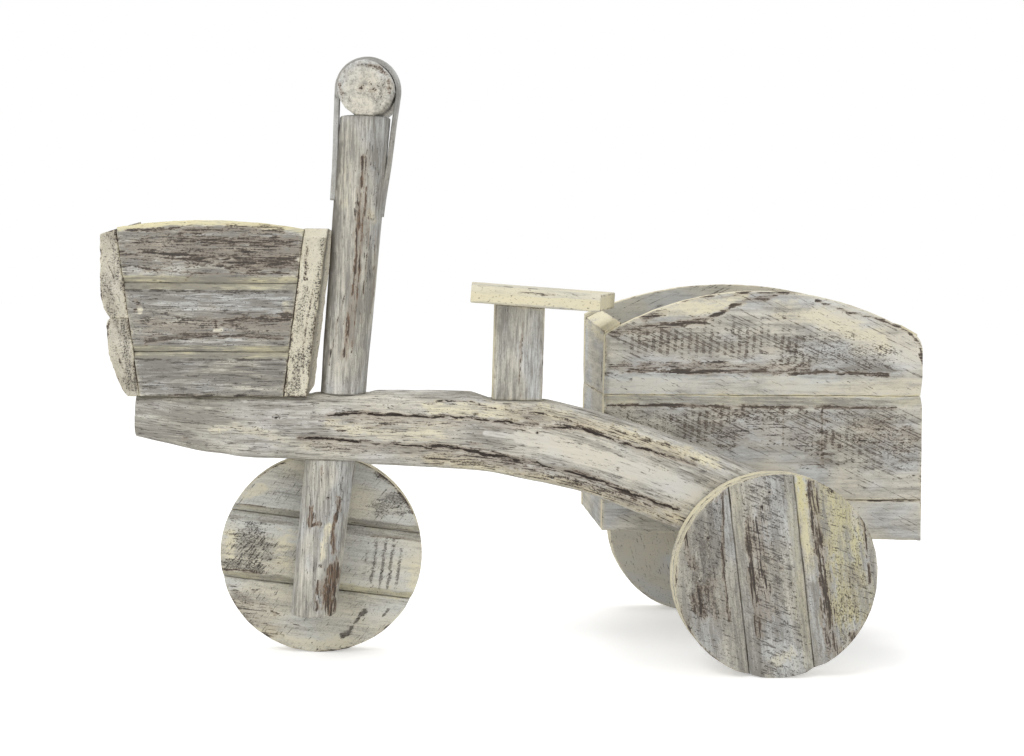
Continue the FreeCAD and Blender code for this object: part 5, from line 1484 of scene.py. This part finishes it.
ring = section(64, 20, 28, 9)
half_y = (BEAM_SIDES[1] - BEAM_SIDES[0]) / 2 - BEAM_CORNER
half_z = (upper - lower)[:, None] / 2 - BEAM_CORNER
middle_z = (upper + lower)[:, None] / 2
beam_y = sum(BEAM_SIDES) / 2 + half_y * ring[:, 0] + BEAM_CORNER * ring[:, 2] + 0 * middle_z
beam_z = middle_z + half_z * ring[:, 1] + BEAM_CORNER * ring[:, 3]
beam_wide = beam_x[:, None] + 0 * beam_z
facing = ease(-ring[:, 2], 0.2, 0.6) + 0 * beam_z
girth = np.arange(len(ring)) * 1.0 + 0 * beam_z
cracks = worn_layers(beam_wide, beam_z, BEAM_MARKS, 1111)["crack"] * facing
hewn = 0.9 + 0.9 * layered_noise(beam_wide, girth, 70, 16, 1101)
strands = 0.5 + 0.5 * layered_noise(beam_wide, girth, 22, 2.0, 1105)
depth = np.clip(hewn, 0, 2) + 0.5 * np.maximum(strands, 0) + 1.0 * cracks
beam_z = np.clip(beam_z - ring[:, 3] * depth, ground[:, None], ceiling[:, None])
rings = np.stack([beam_wide, beam_z, beam_y - ring[:, 2] * depth], -1)
rings = with_ends(rings, (1, 0, 0), (-1, 0, 0), BEAM_END_SHARES, 1.0)
points = rings.reshape(-1, 3)

heart = (upper + lower) / 2
slope = np.gradient(heart, beam_x)
run = np.concatenate([[0], np.cumsum(np.hypot(1, slope[1:]) * np.diff(beam_x))])
along_heart = np.column_stack([np.interp(points[:, 0], beam_x, run),
                               points[:, 1] - np.interp(points[:, 0], beam_x, heart),
                               points[:, 2]])
make_piece("beam_limed", points, tube_quads(rings), WORLD_FACE, beam_wood, "beam",
           shown_marks(points, BEAM_MARKS, 1111, facing, {"fleck": 0.35}), seed=1111,
           wood=along_heart)
print("beam rings", rings.shape)

# %% [markdown]
# ## The round branches
# The steering post and the fork leg are peeled branches. The knife left long flats. The post
# swells a little between its ends. The leg is cut flat behind, where the wheel sits.

# %% The post and the leg
POST_MARKS = (
    ("bare", 9, 0.42, ((-148, 434), (-149, 412), (-150, 387), (-152, 353), (-155, 303),
                       (-158, 275))),
    ("bare", 2.4, 1, ((-150, 434), (-150, 412), (-152, 387), (-154, 353), (-157, 303),
                      (-160, 280))),
    ("bare", 2.2, 0.9, ((-146, 410), (-148, 387), (-150, 353), (-153, 303), (-156, 270))),
    ("bare", 1.6, 0.7, ((-143, 400), (-144, 360), (-147, 320))),
    ("bare", 9, 0.5, ((-153, 335), (-157, 300), (-160, 264))),
    ("bare", 2.2, 0.9, ((-157, 322), (-160, 296), (-162, 266))),
    # Painted shade: this stroke and the darker one further down darken the post's left side,
    # where the basket shades it.
    ("coat_light_and_shade", 26, -0.9, ((-180, 440), (-186, 380), (-188, 300), (-190, 240))),
    ("bare", 1.6, 0.6, ((-138, 375), (-138, 335), (-141, 304))),
    ("bare", 1.9, 0.5, ((-148, 304), (-148, 296))),
    ("fleck", 7.9, 0.6, ((-144, 443), (-140, 428), (-138, 397))),
    ("fleck", 9.4, 0.7, ((-144, 366), (-145, 335))),
    ("cream", 6.3, 0.5, ((-141, 388), (-139, 382))),
    # Painted shade down the post's left side, beside the basket.
    ("grime_and_shade", 18, 1, ((-176, 440), (-182, 365), (-185, 318), (-187, 240))),
    ("cream", 9.4, 0.4, ((-166, 450), (-166, 396))),
    ("crack", 0.6, 0.6, ((-157, 336), (-164, 311), (-170, 287), (-175, 259))),
    ("crack", 0.9, 0.7, ((-147, 391), (-145, 375), (-144, 372))),
    ("knot", 4.1, 0.7, ((-141, 383),)),
)
LEG_MARKS = (
    ("bare", 5.6, 1, ((-187, 136), (-187, 126), (-188, 121))),
    ("bare", 4.1, 0.9, ((-188, 121), (-179, 122))),
    ("bare", 4.1, 1, ((-165, 146), (-165, 133), (-168, 121), (-169, 106), (-168, 96))),
    ("dark", 1.7, 0.7, ((-162, 163), (-163, 148))),
    ("bare", 11, 1, ((-168, 86), (-169, 71), (-170, 59), (-170, 45))),
    ("bare", 3.7, 0.8, ((-180, 71), (-183, 59), (-180, 49))),
    ("cream", 6.1, 0.9, ((-172, 121), (-176, 106), (-176, 94))),
    ("cream", 4.9, 0.8, ((-171, 49), (-170, 44))),
    ("bare", 2.4, 0.6, ((-179, 172), (-179, 165))),
    ("fleck", 6.1, 0.8, ((-163, 158), (-162, 143))),
    ("fleck", 7.3, 0.7, ((-183, 59), (-184, 49))),
    ("hole", 2, 1, ((-173, 145),)),
    ("hole", 2, 1, ((-178, 86),)),
)
END_SHARES = (0.96, 0.82, 0.62, 0.42, 0.22, 0.06)
FLAT_DEPTH, STRAND_DEPTH, CRACK_DEPTH = 0.9, 0.35, 1.2


def branch(name, foot, head, foot_radius, head_radius, bulge, marks, node, seed, limit=None,
           around=132, base=None):
    """A round branch between two places. Its radius runs in a straight line from the foot's to
    the head's, and swells by a share between them. Limit is where it is cut flat behind."""
    foot, head = np.array(foot, float), np.array(head, float)
    height = head[2] - foot[2]
    share = spaced(int(height / 1.3), height, 3.0)
    swell = 1 + bulge * np.clip(1 - ((share - 0.55) / 0.55) ** 2, 0, 1)
    radius = (foot_radius + (head_radius - foot_radius) * share) * swell
    turns = np.linspace(0, 2 * math.pi, around, endpoint=False)
    wide, way = share[:, None] * height + 0 * turns, turns + 0 * share[:, None]
    flats = 0.5 + 0.5 * layered_noise(wide, way * 21 % 131.9, 90, 12, seed)
    strands = 0.5 + 0.5 * layered_noise(wide, way * 21, 30, 2.2, seed + 3)
    out = radius[:, None] - FLAT_DEPTH * flats - STRAND_DEPTH * strands
    out = out - sunk(wide, 1.5) - sunk(height - wide, 1.5)
    centre = foot + (head - foot) * share[:, None]
    x, y = centre[:, :1] + out * np.sin(way), centre[:, 1:2] - out * np.cos(way)
    if limit is not None:
        y = np.minimum(y, limit)
    facing = ease(np.cos(way), 0.05, 0.3)
    crack = worn_layers(x, foot[2] + wide, marks, seed, 1)["crack"]
    rings = np.stack([x, foot[2] + wide, y + CRACK_DEPTH * crack * facing], -1)
    rings = with_ends(rings, (0, 1, 0), (0, -1, 0), END_SHARES, 0.8)
    points = rings.reshape(-1, 3)
    make_piece(name, points, tube_quads(rings), WORLD_FACE, branch_wood, node,
               shown_marks(points, marks, seed, facing, base or {}, 1), fibre=1, seed=seed)
    print(node, round(height, 1), "mm high, radius up to", radius.max().round(1))


branch("steering_post_limed", (-163, -83, STEERING_FLAT), (-149, -83, 469.5), 19.7, 21.7, 0.03,
       POST_MARKS, "steering_post", 1211, base={"fleck": 0.15, "coat_light_and_shade": -0.18})
branch("fork_leg_limed", (-184.6, -80, 40), (-172.7, -80, LEG_FLAT), 19.9, 22.4, 0,
       LEG_MARKS, "fork_leg", 1231, limit=-61.2, base={"fleck": 0.3})

# %% [markdown]
# ## The handlebar's log
# A short round log lies across the post's head, turned a little, with its sawn end to the
# viewer. The saw left that end rough, so its rings are many and uneven. Below, the log is planed
# flat where it sits on the post.

# %% The log
LOG_PLACE = (-147, -83, 491.6)
LOG_YAW = math.radians(6)
LOG_RADIUS, LOG_FLAT = 23.5, 1.4
LOG_NEAR, LOG_FAR = -26, 38
LOG_END_SHARES = (0.98, 0.95, 0.9, 0.84, 0.77, 0.7, 0.62, 0.54, 0.46, 0.38, 0.3, 0.22, 0.14,
                  0.06)
LOG_MARKS = (
    ("dark", 2, 0.6, ((-6, 18), (4, 19), (14, 15))),
    ("knot", 2.4, 0.7, ((5, 3),)),
    ("dark", 2.5, 0.5, ((-16, -6), (-12, -12))),
    ("fleck", 10, 0.7, ((12, -8), (16, 4))),
    ("crack", 1.6, 0.8, ((-3, -1), (-2, 1))),
    ("crack", 1.5, 0.8, ((5, -2), (8, -1))),
    ("bare", 4, 0.8, ((5, 19), (12, 17), (17, 12))),
    ("bare", 3, 0.8, ((20, 6), (21, -3))),
    ("bare", 3, 0.7, ((-21, 2), (-20, -4), (-18, -9))),
)
turns = np.linspace(0, 2 * math.pi, 140, endpoint=False)
depth = LOG_NEAR + (LOG_FAR - LOG_NEAR) * spaced(44, LOG_FAR - LOG_NEAR, 2.5)
deep, way = depth[:, None] + 0 * turns, turns + 0 * depth[:, None]
out = LOG_RADIUS - 0.5 - 0.5 * layered_noise(deep, np.sin(way) * 20 + 40, 30, 5, 1301)
out = out - sunk(deep - LOG_NEAR, 2.0) - sunk(LOG_FAR - deep, 2.0)
log_x, log_z = out * np.cos(way), np.maximum(out * np.sin(way), LOG_FLAT - LOG_RADIUS)
rings = with_ends(np.stack([log_x, log_z, deep], -1), (0, 0, 1), (0, 0, -1), LOG_END_SHARES, 0.8)
points = rings.reshape(-1, 3)
end_face = points[:, 2] < LOG_NEAR + 1.5
points[:, 2] += end_face * (0.5 + 0.6 * layered_noise(points[:, 0], points[:, 1], 7, 7, 1305))
layers = shown_marks(points, LOG_MARKS, 1311, end_face * 1.0, {})
layers["coat_light_and_shade"] = layers["coat_light_and_shade"] + 0.2 * end_face
make_piece("handlebar_log_limed", points, tube_quads(rings),
           face_frame(LOG_PLACE, (math.cos(LOG_YAW), -math.sin(LOG_YAW), 0), (0, 0, 1)),
           branch_wood, "handlebar_log", layers, fibre=2, seed=1311)
print("log", LOG_FAR - LOG_NEAR, "mm long")

# %% [markdown]
# ## The slat over the log
# A thin split slat, soaked and bent over the log, holds it to the post. Its two legs run down
# beside the post. It is a small rounded section carried along its own line.

# %% The slat
STRAP_LEAN = 3.55
STRAP_RADIUS = 26.8
FRONT_END, REAR_END = (-23.1, -94.3), (21.2, -104.4)
STRAP_HALF, STRAP_EDGE = 6.0, 0.9


def straight(start, end, count):
    """Even places on the straight line between two points."""
    return np.column_stack([np.linspace(start[axis], end[axis], count) for axis in (0, 1)])


bend = np.radians(np.linspace(180, 0, 60))
path = np.concatenate([straight(FRONT_END, (-STRAP_RADIUS, 0), 60)[:-1],
                       STRAP_RADIUS * np.column_stack([np.cos(bend), np.sin(bend)]),
                       straight((STRAP_RADIUS, 0), REAR_END, 64)[1:]])
way = np.gradient(path, axis=0)
way /= np.linalg.norm(way, axis=1)[:, None]
out = np.column_stack([-way[:, 1], way[:, 0]])
ring = section(5, 16, 5, 4)
run = np.concatenate([[0], np.cumsum(np.linalg.norm(np.diff(path, axis=0), axis=1))])
worn = 0.3 * layered_noise(run[:, None] + 0 * ring[:, 0], ring[:, 0] * 7 + 0 * run[:, None],
                           26, 5, 1401)
wide = STRAP_HALF * ring[:, 0] + (STRAP_EDGE - 0.3 * np.abs(worn)) * ring[:, 2]
thick = 1.4 * ring[:, 1] + STRAP_EDGE * ring[:, 3] - 0.7 - 0.3 * np.abs(worn) * (ring[:, 3] > 0)
wave = 0.7 * lattice_noise(run / 34, run * 0, 1405)
lift = 0.4 * (lattice_noise(run / 34, run * 0 + 9, 1405) - 1)
height = thick + lift[:, None]
rings = np.stack([path[:, :1] + out[:, :1] * height, path[:, 1:] + out[:, 1:] * height,
                  wide + wave[:, None] + 0 * thick], -1)
points = rings.reshape(-1, 3)
along = np.repeat(run, len(ring))
make_piece("handlebar_strap_limed", points, tube_quads(rings),
           face_frame(LOG_PLACE, turned(STRAP_LEAN, (1, 0, 0)), turned(STRAP_LEAN, (0, 0, 1))),
           strap_wood, "handlebar_strap",
           worn_layers(along, points[:, 2], (), 1411), seed=1411,
           wood=np.column_stack([along, points[:, 2], np.tile(ring[:, 1], len(run))]))
print("slat", run[-1].round(1), "mm long")

# %% [markdown]
# ## Screws and dowels
# Screws are zinc plated steel, which dulls outdoors: a metal that reflects, with a rough skin
# that blurs it. Dowels are planed bare wood, smoother than the limed kind. Only a few heads ever
# show, so the frame's own solids keep their shape and take a plain finish.

# %% Screws and dowels


def plain_material(name, colour, **inputs):
    """One even colour all over, with other inputs by name."""
    material, tree = new_material(name)
    shader = add_node(tree, "ShaderNodeBsdfPrincipled", {"Base Color": linear(colour), **inputs})
    add_node(tree, "ShaderNodeOutputMaterial", {"Surface": shader.outputs[0]})
    return material


screw_steel = plain_material("dull_zinc", "#77746c", Metallic=0.8, Roughness=0.6)
plain_wood = plain_material("plain_wood", "#b89a6c", Roughness=0.7)
for name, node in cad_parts.items():
    node.data.materials.clear()
    node.data.materials.append(screw_steel if "screw" in name else plain_wood)
print("plain finishes on", len(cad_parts), "solids")

# %% [markdown]
# ## Brads in the near wheel
# The wheel is held by long thin brads, driven through a smear of paint. Each is a fine round rod
# with a small head, at the place of the frame's screw. Its profile, a radius at each depth, is
# turned round its own middle line.

# %% Brads
# Shares of the wheel's radius to the right of its hub and above it.
BRAD_PLACES = ((0.035, 0.085), (0.135, -0.075), (-0.068, 0.81))
BRAD_PROFILE = np.array([(0.05, 0.15), (1.1, 0.2), (1.5, 0.6), (1.5, 1.1), (0.9, 1.6),
                         (0.9, 49.0), (0.05, 52.0)])
turns = np.linspace(0, 2 * math.pi, 24, endpoint=False)
for number, (right, up) in enumerate(BRAD_PLACES, start=1):
    rings = np.stack([NEAR_HUB[0] + WHEEL_RADIUS * right + BRAD_PROFILE[:, :1] * np.cos(turns),
                      NEAR_HUB[2] + WHEEL_RADIUS * up + BRAD_PROFILE[:, :1] * np.sin(turns),
                      NEAR_HUB[1] + BRAD_PROFILE[:, 1:] + 0 * turns], -1)
    points = rings.reshape(-1, 3)
    layers = worn_layers(points[:, 0], points[:, 1], (), 1500, base={"bare": 1})
    make_piece("near_wheel_brad_%d_limed" % number, points, tube_quads(rings), WORLD_FACE,
               screw_steel, "near_wheel_screws", layers, seed=1500)
print("brads", len(BRAD_PLACES))

# %% [markdown]
# ## The floor and the sky
# The stand is on a white floor, lit from all sides by a soft sky. Both look pure white to the
# camera, also through a mirror or glass, while every other ray meets a duller white. So the
# floor keeps the soft shadow beneath the stand, and the paint isn't washed out from below.

# %% Floor and sky
WHITE = (1, 1, 1, 1)
FLOOR_WHITE = (0.85, 0.85, 0.85, 1)
FLOOR_LIFT = 0.38
SKY_STRENGTH = 0.74
FLOOR_REACH = 9


def seen_rays(tree):
    """1 for rays that end at the camera, straight or by a mirror or glass, as the largest of
    the three kinds' shares."""
    rays = add_node(tree, "ShaderNodeLightPath").outputs
    share = rays["Is Camera Ray"]
    for kind in ("Is Glossy Ray", "Is Transmission Ray"):
        share = add_node(tree, "ShaderNodeMath", {0: share, 1: rays[kind]},
                         operation="MAXIMUM").outputs[0]
    return share


corners = [(x * FLOOR_REACH, y * FLOOR_REACH, 0) for x, y in ((-1, -1), (1, -1), (1, 1), (-1, 1))]
floor_mesh = bpy.data.meshes.new("floor")
floor_mesh.from_pydata(corners, [], [(0, 1, 2, 3)])
floor = bpy.data.objects.new("floor", floor_mesh)
scene.collection.objects.link(floor)
floor_white, tree = new_material("floor_white")
strength = add_node(tree, "ShaderNodeMath", {0: seen_rays(tree), 1: FLOOR_LIFT},
                    operation="MULTIPLY")
matte = add_node(tree, "ShaderNodeBsdfDiffuse", {"Color": FLOOR_WHITE})
lift = add_node(tree, "ShaderNodeEmission", {"Color": WHITE, "Strength": strength.outputs[0]})
lifted = add_node(tree, "ShaderNodeAddShader", {0: matte.outputs[0], 1: lift.outputs[0]})
add_node(tree, "ShaderNodeOutputMaterial", {"Surface": lifted.outputs[0]})
floor_mesh.materials.append(floor_white)

scene.world = bpy.data.worlds.new("sky")
scene.world.use_nodes = True
tree = scene.world.node_tree
tree.nodes.clear()
sky = add_node(tree, "ShaderNodeBackground", {"Color": WHITE, "Strength": SKY_STRENGTH})
white = add_node(tree, "ShaderNodeBackground", {"Color": WHITE, "Strength": 1.0})
either = add_node(tree, "ShaderNodeMixShader",
                  {0: seen_rays(tree), 1: sky.outputs[0], 2: white.outputs[0]})
add_node(tree, "ShaderNodeOutputWorld", {"Surface": either.outputs[0]})
print("sky", SKY_STRENGTH)

# %% [markdown]
# ## The lamps
# Four wide lamps shape the soft light. The key lamp comes from the front left and above, so the
# joints and the cracks have a shaded side. Two low ones open the shade under the box and beside
# the wheels, and one above lights the tops of the boards.

# %% Lamps
# Each lamp's place, where it points, its width and its power.
LAMPS = {
    "key_lamp": ((-1.5, -1.6, 2.4), (0, 0, 0.25), 1.2, 26),
    "low_lamp": ((0.9, -2.4, 0.5), (0, 0, 0.2), 1.2, 8),
    "left_lamp": ((-1.7, -1.9, 0.4), (0, 0, 0.15), 1.2, 7),
    "top_lamp": ((0.1, 0.6, 2.4), (0, 0, 0.25), 1.6, 17),
}
for name, (place, target, width, power) in LAMPS.items():
    light = bpy.data.lights.new(name, "AREA")
    light.size, light.energy = width, power
    lamp = bpy.data.objects.new(name, light)
    lamp.location = place
    lamp.rotation_euler = (Vector(target) - Vector(place)).to_track_quat("-Z", "Y").to_euler()
    scene.collection.objects.link(lamp)
print("lamps", len(LAMPS))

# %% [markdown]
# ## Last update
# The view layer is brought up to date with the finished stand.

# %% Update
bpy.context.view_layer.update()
